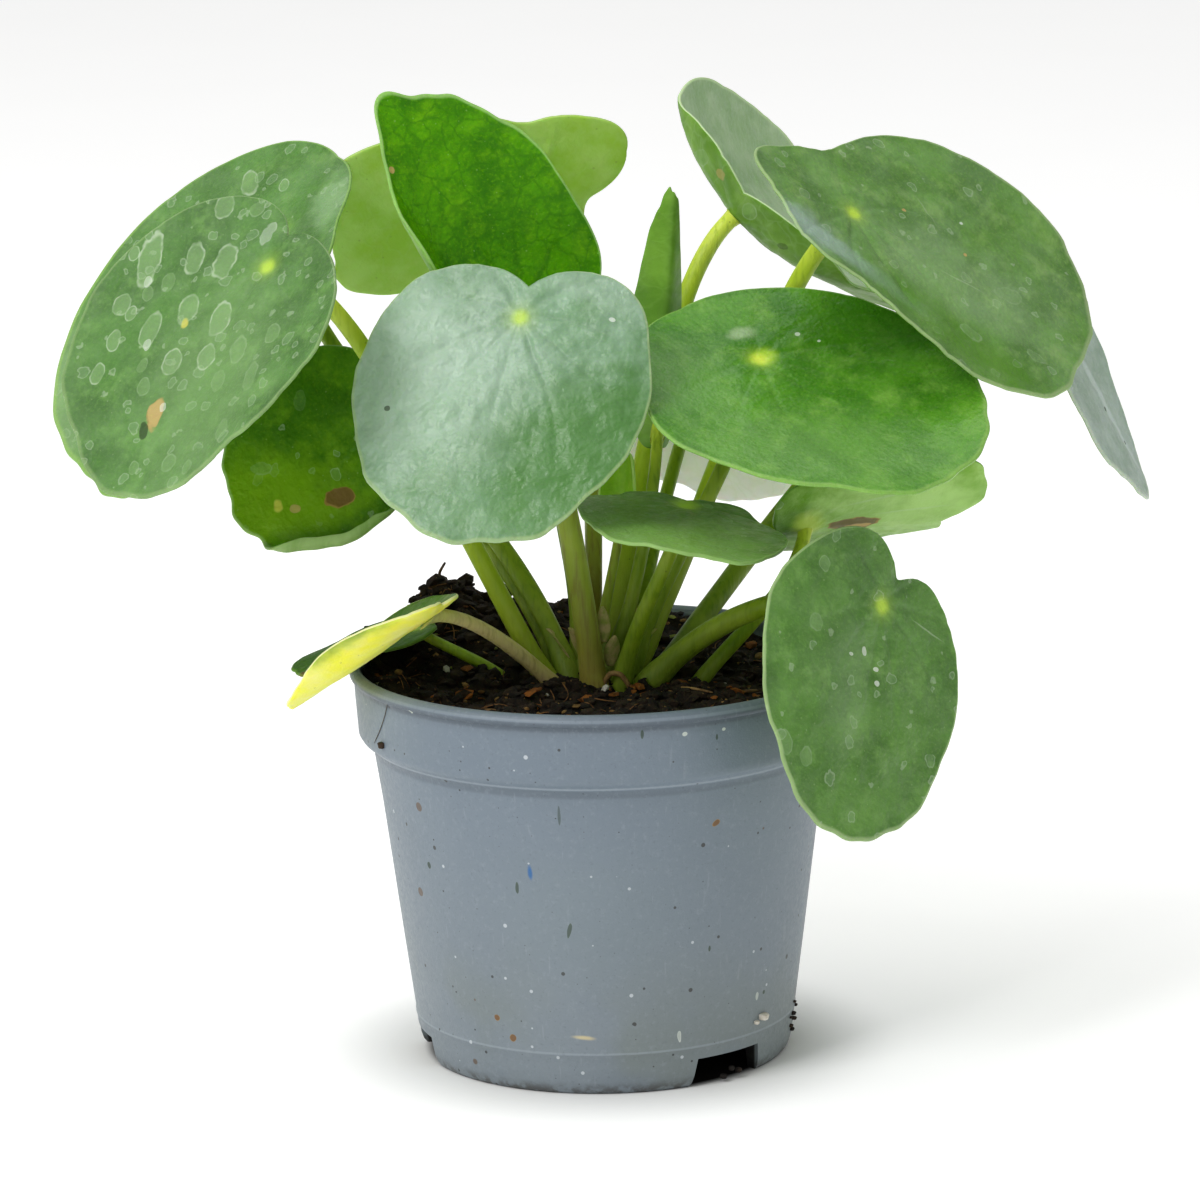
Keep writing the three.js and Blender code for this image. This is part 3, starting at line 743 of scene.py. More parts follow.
LEAVES = (
    LeafShape(
        "01", (-17, -27, 184), (-8, 36), -10, (72, 69), ((-1, -7, 87), (-5, -9, 130), (-14, -4, 168)),
        (3.1, 2.3), 3, dot=0.19, notch=0.15, heart=0.06, curl=(-14, -14), arch=-8,
        bulges=((165, 28, 0.48), (-152, 25, 0.2), (-15, 25, 0.04), (80, 40, -0.06),),
    ),
    LeafShape(
        "02", (39, -11, 170), (18, 62), 32, (80, 76), ((8, -2, 95), (15, -2, 118), (35, 0, 144)), (2.1, 1.6),
        5, dot=0.24, notch=0.02, heart=0, skew=0.12, curl=(6, 6), arch=6,
        bulges=((178, 36, 0.46), (-110, 20, 0.08), (60, 25, -0.08), (-10, 25, 0.05),),
    ),
    LeafShape(
        "03", (62, 4, 202), (52, 46), 18, (90, 86), ((10, 4, 97), (28, 12, 130), (44, 34, 184)), (2.7, 2.1),
        7, dot=0.24, notch=0.04, curl=(24, 4), arch=-5,
        bulges=((-85, 60, -0.44), (78, 50, 0.24), (158, 18, -0.14), (-174, 13, 0.5),),
    ),
    LeafShape(
        "04", (35, 40, 196), (88, 45), 60, (86, 86), ((3, 8, 98), (12, 18, 140), (19, 42, 184)), (3.0, 2.0),
        2, curl=(40, 40), arch=12, brim=46, bulges=((45, 25, 0.15), (105, 18, 0.03), (-150, 30, 0.12),),
    ),
    LeafShape(
        "05", (109, 50, 177), (77, 26), 0, (58, 66), ((13, 2, 89), (42, 25, 122), (78, 52, 166)), (2.7, 2.0),
        9, notch=0, curl=(5, 5), bulges=((80, 40, -0.22), (0, 26, 0.1),),
    ),
    LeafShape(
        "06", (-76, -20, 196), (-43, 42), -6, (87, 86), ((-12, -3, 90), (-39, -5, 140), (-55, -8, 190)),
        (2.4, 2.0), 4, dot=0.23, heart=-0.05, skew=0.1, curl=(12, 20), arch=-8,
        bulges=((65, 45, -0.22), (30, 20, -0.05), (158, 35, -0.28),),
    ),
    LeafShape(
        "07", (-73, 26, 197), (-54, 44), 0, (84, 97), ((-9, 7, 90), (-26, 24, 133), (-74, 44, 162)),
        (2.1, 1.8), 8, dot=0.2, notch=0.02, curl=(12, 20), arch=-8,
        bulges=((-160, 55, 0.42), (-70, 35, 0.1), (-60, 15, 0.06), (140, 35, -0.5), (85, 25, -0.3),),
    ),
    LeafShape(
        "08", (-52, 10, 154), (-25, 25), -55, (51, 52), ((-8, 1, 93), (-16, 12, 117), (-40, 24, 142)),
        (2.5, 1.9), 6, roll=(80, 52, 190),
    ),
    LeafShape(
        "09", (-18, 8, 180), (10, 10), -151, (50, 69), ((-4, 5, 98), (-6, 14, 130), (-19, 26, 172)),
        (2.4, 1.8), 1, curl=(10, 100), bulges=((-140, 25, 0.22), (45, 22, -0.15), (5, 10, 0.05),),
    ),
    LeafShape(
        "10", (-15, 46, 204), (-172, 26), 70, (49, 71), ((-2, 11, 97), (2, 22, 139), (-6, 33, 188)),
        (2.2, 1.8), 5, dot=0.28, notch=0.02,
        bulges=((172, 20, 0.38), (125, 15, -0.2), (-148, 14, -0.2), (60, 25, 0.17), (-40, 22, 0.13),),
    ),
    LeafShape(
        "11", (15, 9, 150), (190, 0), 184, (12, 66), ((5, 2, 100), (10, 2, 115), (14, 3, 135)), (1.7, 1.4), 3,
        dot=0.12, heart=0.35, fold=2.8,
    ),
    LeafShape(
        "12", (21, -18, 136), (75, 79), -78, (50, 51), ((5, -7, 90), (8, -11, 108), (17, -18, 121)),
        (2.1, 1.6), 2, dot=0.14, notch=0.12, bulges=((164, 14, 0.5), (-164, 14, 0.45),),
    ),
    LeafShape(
        "13", (66, -42, 117), (46, 10), -28, (66, 70), ((12, -6, 91), (30, -11, 112), (52, -25, 119)),
        (2.8, 2.1), 6, dot=0.22, notch=0.03, skew=0.1, curl=(-15, 5),
        bulges=((170, 9, -0.4), (110, 45, -0.1), (-10, 15, 0.05), (-165, 20, 0.1),),
    ),
    LeafShape(
        "14", (50, 8, 125), (-162, 54), -95, (50, 56), ((21, -2, 86), (30, -2, 100), (47, -1, 110)),
        (1.9, 1.6), 4, dot=0.2, curl=(25, 25), bulges=((15, 20, -0.2), (-45, 20, 0.12), (-150, 15, 0.15),),
    ),
    LeafShape(
        "15", (-40, -33, 114), (-115, 55), 0, (34, 53), ((-9, -7, 89), (-22, -14, 105), (-34, -26, 115)),
        (1.9, 1.5), 2, curl=(40, 40), bulges=((-35, 15, 0.25),),
    ),
    LeafShape(
        "16", (-44, 7, 102), (-84, 80), 0, (26, 38), ((-17, -1, 86), (-25, 1, 95), (-36, 4, 97)), (1.5, 1.2),
        9, arch=-16,
    ),
    LeafShape(
        "17", (29, 46, 165), (175, 30), 0, (62, 68), ((8, 11, 93), (14, 26, 126), (24, 38, 150)), (1.8, 1.5),
        7, bulges=((20, 30, -0.08),),
    ),
    LeafShape(
        "18", (6, 4, 131), (-20, 10), 180, (9, 18), ((0, 1, 100), (2, 2, 111), (5, 3, 122)), (1.4, 1.0), 1,
        heart=0.3, fold=1.5,
    ),
)


# ---- finishes


@dataclass(frozen=True)
class LeafFinish:
    """The colours and surface of a blade.

    base, deep and pale are the upper face's main, darker and lighter greens, and bloom is its waxy grey film
    with the share it covers. under and under_pale are the lower face's greens. margin, vein and dot are the
    light lines and the pale dot, and edge, rays and net are the strengths of the margin, of the large veins
    and of the net between them. gloss is the roughness and shine the specular level of the upper face, glow
    the light that passes through, hammer the scale of the dimples, and drops the share of dried drops.
    """

    base: str
    deep: str
    pale: str
    bloom: str
    bloom_share: float
    under: str
    under_pale: str = "#8fb468"
    margin: str = "#b9cf8e"
    vein: str = "#8fb56a"
    dot: str = "#b9d27a"
    gloss: float = 0.42
    shine: float = 0.22
    glow: float = 0.15
    net: float = 0.10
    rays: float = 0.08
    hammer: float = 1.0
    drops: float = 0.0
    edge: float = 0.5
    marks: tuple[Mark, ...] = ()
    under_marks: tuple[Mark, ...] = ()


@dataclass(frozen=True)
class StalkFinish:
    """The colours of a stalk at its foot, along its length and at its head, and of its streaks."""

    foot: str
    middle: str
    head: str
    streak: str


GREEN_STALK = StalkFinish("#7c902c", "#88a41c", "#b8cc38", "#5c7c0c")
BROWNED_STALK = StalkFinish("#94863e", "#9cb034", "#b8c440", "#7c6c2c")
BRIGHT_STALK = StalkFinish("#90a030", "#a8c420", "#dcec58", "#90ac20")
TAN_STALK = StalkFinish("#c4b078", "#ccc080", "#b8bc68", "#948450")

# ---- blades


VEIN_RAYS = (0, 33, -35, 70, -68, 108, -111, 146, -149)
EDGE_TURNS = (70, 35, 0, -35, -70)  # degrees round the margin, from the upper face to the lower one
LEAF_FLESH = {"Subsurface_Radius": (0.25, 0.6, 0.08), "Subsurface_Scale": 0.004}


@dataclass
class Blade:
    """A blade as one closed skin: upper face, rounded margin and underside. half is half its thickness."""

    shape: LeafShape
    finish: LeafFinish
    half: float = 0.42
    rings: int = 52
    edge_rings: int = 10
    under_rings: int = 26
    segments: int = 180
    middle_share: float = 0.03

    def veins(self, share: Array, angle: Array) -> Array:
        """How near a point is to one of the rays that leave the dot and bend towards the tip, 0 to 1."""
        across, along = self.shape.flat(share, angle)
        radius = np.hypot(across, along)
        reach = 0.55 * self.shape.size[1]
        bearing = np.arctan2(across, along)
        total = np.zeros_like(radius)
        for index, ray in enumerate(VEIN_RAYS):
            wobble = 0.05 * np.sin(radius / reach * 4 + index * 2.4 + self.shape.waves)
            away = bearing - (radians(ray) * (1 - 0.22 * radius / reach) + wobble)
            aside = radius * np.abs(np.sin(away)) / (1.0 - 0.45 * np.clip(radius / reach, 0, 1))
            near = np.exp(-(aside**2)) * (np.cos(away) > 0)
            strong = 0.5 + 0.5 * abs(sin(1.7 * index + self.shape.waves))
            total = np.maximum(total, near * (strong * (1 - 0.75 * smooth(radius, 0.15 * reach, reach))))
        return total

    def relief(self, share: Array, angle: Array) -> Array:
        """Height over the mid surface: hammered dimples, creases along the veins and a dip at the dot."""
        across, along = self.shape.flat(share, angle)
        scale = min(1.0, self.shape.size[0] / 50)
        place = np.stack([across, along, np.full_like(across, 7.0 * self.shape.waves)], axis=-1)
        hammer = 0.24 * layered_noise(place, 6.5, self.shape.waves) + 0.10 * lattice_noise(place, 2.6, 5)
        broad = 0.6 * lattice_noise(place, 19.0, 11 + self.shape.waves) * share
        radius = np.hypot(across, along)
        crease = -0.32 * self.veins(share, angle) * smooth(radius, 1.0, 7.0)
        dip = -0.45 * np.exp(-((radius / 3.2) ** 2)) + 0.25 * np.exp(-(((radius - 7.0) / 3.5) ** 2))
        raised_edge = 0.15 * smooth(share, 0.93, 0.99)
        return scale * (self.finish.hammer * (hammer + crease) + broad + dip + raised_edge)

    def skin(self) -> tuple[Array, Array, Array, Array, Array]:
        """The closed skin, row by row from the middle of the upper face to the middle of the underside.

        Formula: the upper and lower points are the mid surface plus the relief, half a thickness to either
        side along its normal. At the margin a half circle of that radius joins them.

        Returns:
            Points, share and angle of each point, quads, and the row that each quad starts on.
        """
        angle_row = np.linspace(-pi, pi, self.segments, endpoint=False)
        face = np.linspace(self.middle_share, 0.92, self.rings - self.edge_rings)
        upper = np.concatenate([face, np.linspace(0.928, 0.978, self.edge_rings)])
        turns = np.radians(EDGE_TURNS)
        under = np.linspace(0.975, self.middle_share, self.under_rings)
        rows = np.concatenate([upper, np.ones(len(turns)), under])
        side = np.concatenate([np.ones(self.rings), np.sin(turns), -np.ones(self.under_rings)])
        inset = np.concatenate([np.zeros(self.rings), 1 - np.cos(turns), np.zeros(self.under_rings)])
        share, angle = np.meshgrid(rows, angle_row, indexing="ij")
        mid = self.shape.surface(share, angle)
        normal = self.shape.normal(share, angle)
        outward = unit(mid - self.shape.surface(share - 0.03, angle))
        lift = self.relief(share, angle) + side[:, None] * self.half
        points = mid + normal * lift[..., None] - outward * (inset[:, None] * self.half)[..., None]
        poles = [points[row].mean(axis=0, keepdims=True) for row in (0, -1)]
        everything = np.concatenate([poles[0], points.reshape(-1, 3), poles[1]])
        share, angle = (np.pad(data.ravel(), 1, mode="edge") for data in (share, angle))
        quads = skin_faces(len(rows), self.segments, 1)
        return everything, share, angle, quads, np.repeat(np.arange(len(rows) - 1), self.segments)

    def make(self, bench: Bench) -> Piece:
        """Builds the blade's mesh in its two materials."""
        points, share, angle, quads, row = self.skin()
        last = len(points) - 1
        over = row < self.rings + len(EDGE_TURNS) // 2 + 1
        parts = (
            Part(fan(0, 1, self.segments, True), 0), Part(quads[over], 0), Part(quads[~over], 1),
            Part(fan(last, last - self.segments, self.segments), 1),
        )
        across, along = self.shape.flat(share, angle)
        across[0] = along[0] = across[-1] = along[-1] = 0
        uv = np.stack([across, along], axis=-1) / UV_SPAN + 0.5
        values = {"share": share, "vein": self.veins(share, angle)}
        values["vein"][0] = values["vein"][-1] = 1
        materials = (self.dress_upper(bench), self.dress_under(bench))
        return build(bench, f"leaf_{self.shape.label}", points, parts, materials, uv, values)

    def dress_upper(self, bench: Bench) -> Material:
        """The upper face: mottled greens under a waxy bloom, light lines, then each of its marks."""
        finish = self.finish
        paint = Dressing(f"leaf_{self.shape.label}_upper", bench)
        kit = paint.kit
        flat = paint.surface()
        place = kit.vector("ADD", flat, (13.0 * self.shape.waves, 0, 0))
        paint.start(kit.cloud(place, 0.05, 0.40, 0.60, 5.0, 0.6), finish.base, finish.deep)
        paint.lay(kit.cloud(place, 0.45, 0.42, 0.66, 4.0, 0.7), finish.deep, 0.38)
        paint.lay(kit.cloud(place, 0.11, 0.48, 0.72, 5.0, 0.65), finish.pale, 0.7)
        paint.lay(paint.value("vein"), finish.vein, finish.rays)
        net = kit.group(bench.net, Place=place).outputs["Net"]
        paint.lay(net, finish.deep, finish.net)
        film = kit.math("MULTIPLY_ADD", kit.cloud(place, 0.09, 0.34, 0.66, 6.0, 0.68), 0.6, 0.4)
        paint.lay(film, finish.bloom, finish.bloom_share)
        paint.lay(kit.cloud(place, 1.1, 0.50, 0.70), finish.pale, 0.30)
        paint.strew(place, 0.75, 0.30, finish.margin, 0.20)
        paint.roughen(place, 0.5, finish.gloss - 0.05, finish.gloss + 0.10, 4.0)
        if finish.drops:
            spots = kit.group(bench.drops, Place=place, Scale=0.22, Amount=finish.drops)
            paint.lay(spots.outputs["Film"], "#8fae84", 0.20)
            paint.lay(spots.outputs["Rim"], "#bccdae", 0.28)
        for mark in finish.marks:
            paint.mark(flat, mark)
        paint.lay(kit.spread(paint.value("share"), 0.974, 0.994), finish.margin, finish.edge)
        away = kit.vector("LENGTH", flat)
        paint.lay(kit.spread(away, 1.5, 6.0, 0.20, 0.0), finish.dot)
        paint.lay(kit.spread(away, 0.5, 3.0, 0.95, 0.0), finish.dot)
        dimples = kit.math(
            "MULTIPLY_ADD", kit.noise(place, 0.20, 2.0), 1.1 * finish.hammer, kit.noise(place, 0.8, 3.0)
        )
        height = kit.math("MULTIPLY_ADD", net, -0.10, dimples)
        return paint.close(
            height, 0.0003, 0.8, Specular_IOR_Level=finish.shine, Subsurface_Weight=finish.glow, **LEAF_FLESH
        )

    def dress_under(self, bench: Bench) -> Material:
        """The underside: paler and duller, with raised lighter veins."""
        finish = self.finish
        paint = Dressing(f"leaf_{self.shape.label}_under", bench)
        kit = paint.kit
        flat = paint.surface()
        place = kit.vector("ADD", flat, (0, 17.0 * self.shape.waves, 0))
        light = kit.math("MULTIPLY", kit.cloud(place, 0.07, 0.35, 0.65, 5.0, 0.6), 0.8)
        paint.start(light, finish.under, finish.under_pale)
        paint.lay(paint.value("vein"), finish.vein, 0.16)
        net = kit.group(bench.net, Place=place).outputs["Net"]
        paint.lay(net, finish.margin, 0.08)
        paint.strew(place, 0.55, 0.18, "#6f7f45", 0.3)
        paint.roughen(place, 0.4, 0.46, 0.62)
        for mark in finish.under_marks:
            paint.mark(flat, mark)
        height = kit.math("MULTIPLY_ADD", net, 0.2, kit.noise(place, 1.1, 3.0))
        return paint.close(
            height, 0.0002, 0.6, Specular_IOR_Level=0.3, Subsurface_Weight=finish.glow, **LEAF_FLESH
        )


# ---- stalks


@dataclass
class Stalk:
    """A round, tapered stalk from the crown or the soil to the dot of its blade.

    Near its head, over the last sheared millimetres, it is sheared to end flat at under_blade below the dot,
    where least_climb and most_shear keep a stalk that meets its blade at a low angle from smearing.
    """

    shape: LeafShape
    finish: StalkFinish
    sides: int = 22
    rows: int = 72
    buried: float = 5.0
    steps: int = 600
    under_blade: float = 0.5
    sheared: float = 5.0
    least_climb: float = 0.35
    most_shear: float = 3.5

    def centre_line(self) -> tuple[Array, Array]:
        """Points evenly along a cubic curve from foot to dot, led straight down into the foot first.

        Returns:
            Points, (rows, 3), and their distance along the stalk from the foot.
        """
        foot, rise, arrive = (np.array(point, float) for point in self.shape.stalk)
        head = np.array(self.shape.at, float)
        t = np.linspace(0, 1, self.steps)[:, None]
        curve = (1 - t) ** 3 * foot + 3 * t * (1 - t) ** 2 * rise + 3 * t**2 * (1 - t) * arrive + t**3 * head
        lead = foot - unit(rise - foot) * self.buried
        curve = np.concatenate([lead[None], curve])
        steps = lengths(curve)
        wanted = np.linspace(0, steps[-1], self.rows)
        return resample(curve, steps, wanted), wanted - self.buried

    def make(self, bench: Bench) -> Piece:
        """Builds the stalk.

        Formula: rings of an almost round section about the centre line, whose radius tapers from foot to
        head with a flare at both ends. Near the head the rings shear along the stalk until the last one
        lies in a plane just under the blade.
        """
        line, along = self.centre_line()
        length = along[-1]
        tangent = unit(np.gradient(line, axis=0))
        side = np.cross(line[-1] - line[0], (0.02, 0.01, 1.0))
        side = unit(side - np.sum(side * tangent, axis=1, keepdims=True) * tangent)
        angle, ring = circles(tangent, side, self.sides)
        share = np.clip(along / length, 0, 1)
        radius = self.shape.radii[0] + (self.shape.radii[1] - self.shape.radii[0]) * share
        flare = 1 + 0.28 * np.exp(-((along / 6) ** 2)) + 0.30 * np.exp(-(((length - along) / 1.8) ** 2))
        place = np.broadcast_arrays(along[:, None] / 9, np.cos(angle) * 0.6, np.sin(angle) * 0.6)
        uneven = 1 + 0.05 * lattice_noise(np.stack(place, axis=-1), 1.0, self.shape.waves + 40)
        section = (radius * flare)[:, None] * uneven
        points = line[:, None] + section[..., None] * ring
        out = self.shape.axes()[2]
        gap = (np.array(self.shape.at) - self.under_blade * out - points) @ out
        climb, least = tangent @ out, self.least_climb
        climb = np.where(np.abs(climb) < least, np.where(climb < 0, -least, least), climb)
        near = smooth(length - along, self.sheared, 0.0)
        shear = np.clip(gap / climb[:, None], -self.most_shear, self.most_shear) * near[:, None]
        points = points + shear[..., None] * tangent[:, None]
        everything, parts = capped(points, [points[0].mean(axis=0), points[-1].mean(axis=0)])
        around = np.tile(angle / (2 * pi), self.rows)
        uv = np.stack([around, np.repeat(along / UV_SPAN + 0.5, self.sides)], axis=-1)
        uv = np.concatenate([uv, [[0.5, 0.5], [0.5, 0.5 + length / UV_SPAN]]])
        values = {"along": np.concatenate([np.repeat(share, self.sides), [0, 1]])}
        return build(bench, f"stalk_{self.shape.label}", everything, parts, (self.dress(bench),), uv, values)

    def dress(self, bench: Bench) -> Material:
        """Fleshy yellow-green, with streaks along it, a tinge at each end and small specks; the darker foot
        is partly painted shade near the soil and the lighter head partly painted light.
        """
        finish = self.finish
        paint = Dressing(f"stalk_{self.shape.label}", bench)
        kit = paint.kit
        place = paint.places()
        along = paint.value("along")
        # From foot to head: the stalk's own tones, darker at the foot partly as painted shade near the soil,
        # and lighter at the head partly as painted light.
        paint.start(kit.spread(along, 0.0, 0.35), finish.foot, finish.middle)
        paint.lay(kit.spread(along, 0.72, 1.0), finish.head)
        stretched = kit.vector("MULTIPLY", place, (0.9, 0.9, 0.10))
        paint.lay(kit.cloud(stretched, 1.0, 0.45, 0.72), finish.streak, 0.55)
        paint.lay(kit.cloud(place, 0.09, 0.50, 0.75, 2.0), "#bccc50", 0.35)
        paint.strew(place, 0.7, 0.16, "#55601f", 0.45)
        paint.roughen(place, 0.5, 0.36, 0.52)
        return paint.close(
            kit.noise(stretched, 1.6, 3.0), 0.0004, 0.6, Specular_IOR_Level=0.3,
            Subsurface_Weight=0.35, Subsurface_Radius=(0.5, 0.6, 0.1), Subsurface_Scale=0.003,
        )


# ---- pot


# Colour of the painted shade under the pot: inside its foot ring and on the floor beneath it.
UNDER_POT_SHADE = "#14110e"

# Height, half width, display colour and strength of each line round the pot: painted highlights on the edges
# of the collar, foot ridge and lip, and painted shade in the bands under the collar and the lip.
POT_LIGHT_AND_SHADE_LINES = (
    (77.4, 0.45, "#a8b2bb", 0.45), (75.9, 1.5, "#515c66", 0.40), (10.4, 0.35, "#9aa4ab", 0.40),
    (93.0, 1.6, "#46505a", 0.65), (94.6, 0.5, "#9aa5af", 0.30),
)

# Scale, amount, display colour and strength of each kind of speck in the plastic.
POT_SPECKS = (
    (0.30, 0.14, "#34332f", 0.85), (0.45, 0.10, "#2c2b29", 0.80), (0.34, 0.07, "#c6ccd1", 0.75),
    (0.16, 0.07, "#5c4630", 0.80), (0.9, 0.07, "#3f444a", 0.6),
)
POT_MARKS = (
    Mark(DARK, 9, 91, 0.6, 1.8), Mark(DARK, 26.3, 88.7, 0.6, 1.5), Mark(DARK, -10.4, 70.9, 0.6, 4.5, 0, 0.7),
    Mark(DARK, -22.4, 52, 0.8, 2.4), Mark(DARK, -9.2, 41.5, 0.9, 3.4, -12), Mark(DARK, 29, 35, 0.9, 1.8),
    Mark(DARK, -51, 53.5, 1.2, 1.4), Mark(DARK, 51, 20, 1.4, 1.4),
    Mark(WASH, -18.6, 56, 1.1, 3.2, 4, 1.1, "#24609a"), Mark(CHALK, 18.6, 90.4, 0.9, 0.8),
    Mark(CHALK, 28, 90.4, 0.9, 0.8), Mark(CHALK, -46.4, 93, 0.8, 0.8),
    Mark(CHALK, 21, 13.5, 1.3, 3.4, 10, 0.7), Mark(CHALK, 48, 19.5, 1.2, 2.2, 0, 0.7),
    Mark(BROWN, 28.8, 66.5, 2.2, 1.4, 30), Mark(BROWN, -27.3, 13.4, 2.0, 1.7), Mark(BROWN, -32, 18, 1.7, 1.4),
    Mark(WASH, -6.5, 14.7, 5.4, 1.0, -4, 1.0, "#cdbf94"), Mark(WASH, -2, 45, 46, 30, 0, 0.12, "#7a8a86"),
)


@dataclass
class Pot:
    """A thin moulded nursery pot: tapered wall, stepped collar, rolled lip, and a foot ring with notches.

    Lengths are millimetres and angles degrees from the front towards the right.
    """

    columns: int = 288
    height: float = 96.0
    rim: float = 60.0
    step: float = 54.7
    step_height: float = 76.8
    base: float = 44.6
    wall: float = 1.3
    floor_under: float = 7.2
    floor_top: float = 8.6
    foot_inner: float = 40.8
    foot_flat: float = 43.2
    notch_angles: tuple[float, ...] = (40.5, 160.5, 280.5)
    notch_widths: Pair = (21.5, 19.0)
    slot: Triple = (15.0, 32.0, 39.6)
    hole: Pair = (4.0, 22.0)
    sharp: float = 38.0

    def profile(self) -> Array:
        """Section from the middle of the underside, up the outside, over the lip and down the inside.

        Each corner is a short run of points, so that it reads as a moulded radius.
        """
        rim, top, step, low, base = self.rim, self.height, self.step, self.step_height, self.base
        under, floor, foot, bore = self.floor_under, self.floor_top, self.foot_inner, self.step - self.wall
        outside = [
            (0.6, under), (20, under), (foot - 0.6, under), (foot, under - 0.6), (foot, 0.5),
            (foot + 0.4, 0.0), (self.foot_flat, 0), (base - 0.9, 0.25), (base - 0.2, 1.2), (base + 0.35, 3.0),
            (base + 0.9, 7.0), (base + 1.22, 9.6), (base + 1.42, 9.9), (base + 1.45, 10.4),
            (base + 1.35, 10.8), (base + 3.6, 28), (base + 5.9, 46), (base + 8.1, 63),
            (step - 0.1, low - 1.2), (step + 0.15, low - 0.3), (step + 0.9, low + 0.3),
            (rim - 3.4, low + 1.2), (rim - 2.5, low + 1.8), (rim - 1.9, low + 2.8),
            (rim - 1.75, low + 5), (rim - 1.3, top - 8), (rim - 1.05, top - 3.8), (rim - 0.85, top - 3.1),
            (rim - 0.25, top - 2.7), (rim, top - 2.2), (rim, top - 1.6), (rim - 0.25, top - 1.0),
            (rim - 0.7, top - 0.45), (rim - 1.2, top - 0.1), (rim - 1.7, top), (rim - 2.2, top - 0.25),
            (rim - 2.6, top - 0.9),
        ]
        collar = rim - 3.2
        inside = [
            (collar, low + 6), (collar - 0.2, low + 4), (collar - 1.2, low + 2), (bore, low + 0.7),
            (bore - 4.6, 42), (base - 0.7 + 0.8, floor + 2), (base - 0.7, floor + 0.5),
            (base - 1.4, floor), (20, floor), (0.6, floor),
        ]
        return np.array(outside + inside, float)

    def rows(self) -> Array:
        """The profile's corners with extra points on its long straight runs."""
        corners = self.profile()
        steps = lengths(corners)
        extra = np.arange(0, steps[-1], 3.5)
        wanted = np.unique(np.round(np.concatenate([steps, extra]), 3))
        wanted = wanted[np.concatenate([[True], np.diff(wanted) > 0.12])]
        return resample(corners, steps, wanted)

    def cutter(self, bench: Bench, first: Array, last: Array) -> Piece:
        """A closed block between two rings of corners."""
        count = len(first)
        mesh = bpy.data.meshes.new("cutter")
        faces = [list(range(count)), list(range(2 * count - 1, count - 1, -1))]
        faces += skin_faces(2, count).tolist()
        mesh.from_pydata(bench.frame.place(np.concatenate([first, last])).tolist(), [], faces)
        made = add("cutter", mesh)
        recalculate(made)
        return made

    def prism(self, bench: Bench, section: Array, near: float, far: float, degrees: float) -> Piece:
        """A straight cutter along the radius at an angle, with its section in sideways and height."""
        turn = radians(degrees)
        out = np.array([sin(turn), -cos(turn), 0.0])
        aside, up = np.array([cos(turn), sin(turn), 0.0]), np.array([0.0, 0.0, 1.0])
        ring = section[:, :1] * aside + section[:, 1:] * up
        return self.cutter(bench, ring + out * near, ring + out * far)

    def upright(self, bench: Bench, outline: Array, ring: float, degrees: float) -> Piece:
        """An upright cutter through the floor, with its outline about a point of a ring."""
        turn = radians(degrees)
        flat = outline + np.array([sin(turn) * ring, -cos(turn) * ring])
        levels = (self.floor_under - 2, self.floor_top + 2)
        rings = (np.column_stack([flat, np.full(len(flat), level)]) for level in levels)
        return self.cutter(bench, *rings)

    def cutters(self, bench: Bench) -> list[Piece]:
        """Cutters for the notches in the foot ring, the slots behind them and the round holes between."""
        made = []
        wide, narrow = (width / 2 for width in self.notch_widths)
        width, near, far = self.slot
        radius, ring = self.hole
        half, under, top = width / 2, self.floor_under, self.floor_top
        notch = np.array([(-wide, -1), (wide, -1), (narrow, under - 0.05), (-narrow, under - 0.05)])
        slot = np.array([(-half, under - 1), (half, under - 1), (half, top + 1), (-half, top + 1)])
        turn = np.linspace(0, 2 * pi, 33)[:-1]
        hole = np.stack([radius * np.cos(turn), radius * np.sin(turn)], axis=-1)
        for degrees in self.notch_angles:
            made.append(self.prism(bench, notch, self.foot_inner - 3, self.rim, degrees))
            made.append(self.prism(bench, slot, near, far, degrees))
            made.append(self.upright(bench, hole, ring, degrees + 60))
        return made

    def make(self, bench: Bench) -> Piece:
        """Builds the pot: the section turned about the axis, with its notches, slots and holes cut out."""
        section = self.rows()
        turn = np.linspace(0, 2 * pi, self.columns, endpoint=False)
        radius, height = section[:, :1], section[:, 1:]
        waver = 0.10 * np.sin(2 * turn + 0.7) + 0.06 * np.sin(5 * turn)
        reach = radius + waver * (smooth(radius, 30.0, 50.0) * smooth(height, 5.0, 40.0))
        level = np.broadcast_to(height, reach.shape)
        grid = np.stack([reach * np.cos(turn), reach * np.sin(turn), level], axis=-1)
        points, parts = capped(grid, [(0, 0, section[0, 1]), (0, 0, section[-1, 1])])
        pot = build(bench, "nursery_pot", points, parts, (self.dress(bench),))
        for cutter in self.cutters(bench):
            cut = pot.modifiers.new("cut", "BOOLEAN")
            cut.operation = "DIFFERENCE"
            cut.solver = "EXACT"
            cut.object = cutter
            bpy.context.view_layer.update()
            mesh = bpy.data.meshes.new_from_object(pot.evaluated_get(bpy.context.evaluated_depsgraph_get()))
            pot.modifiers.clear()
            pot.data = mesh
            bpy.data.objects.remove(cutter)
        pot.data.set_sharp_from_angle(angle=radians(self.sharp))
        return pot

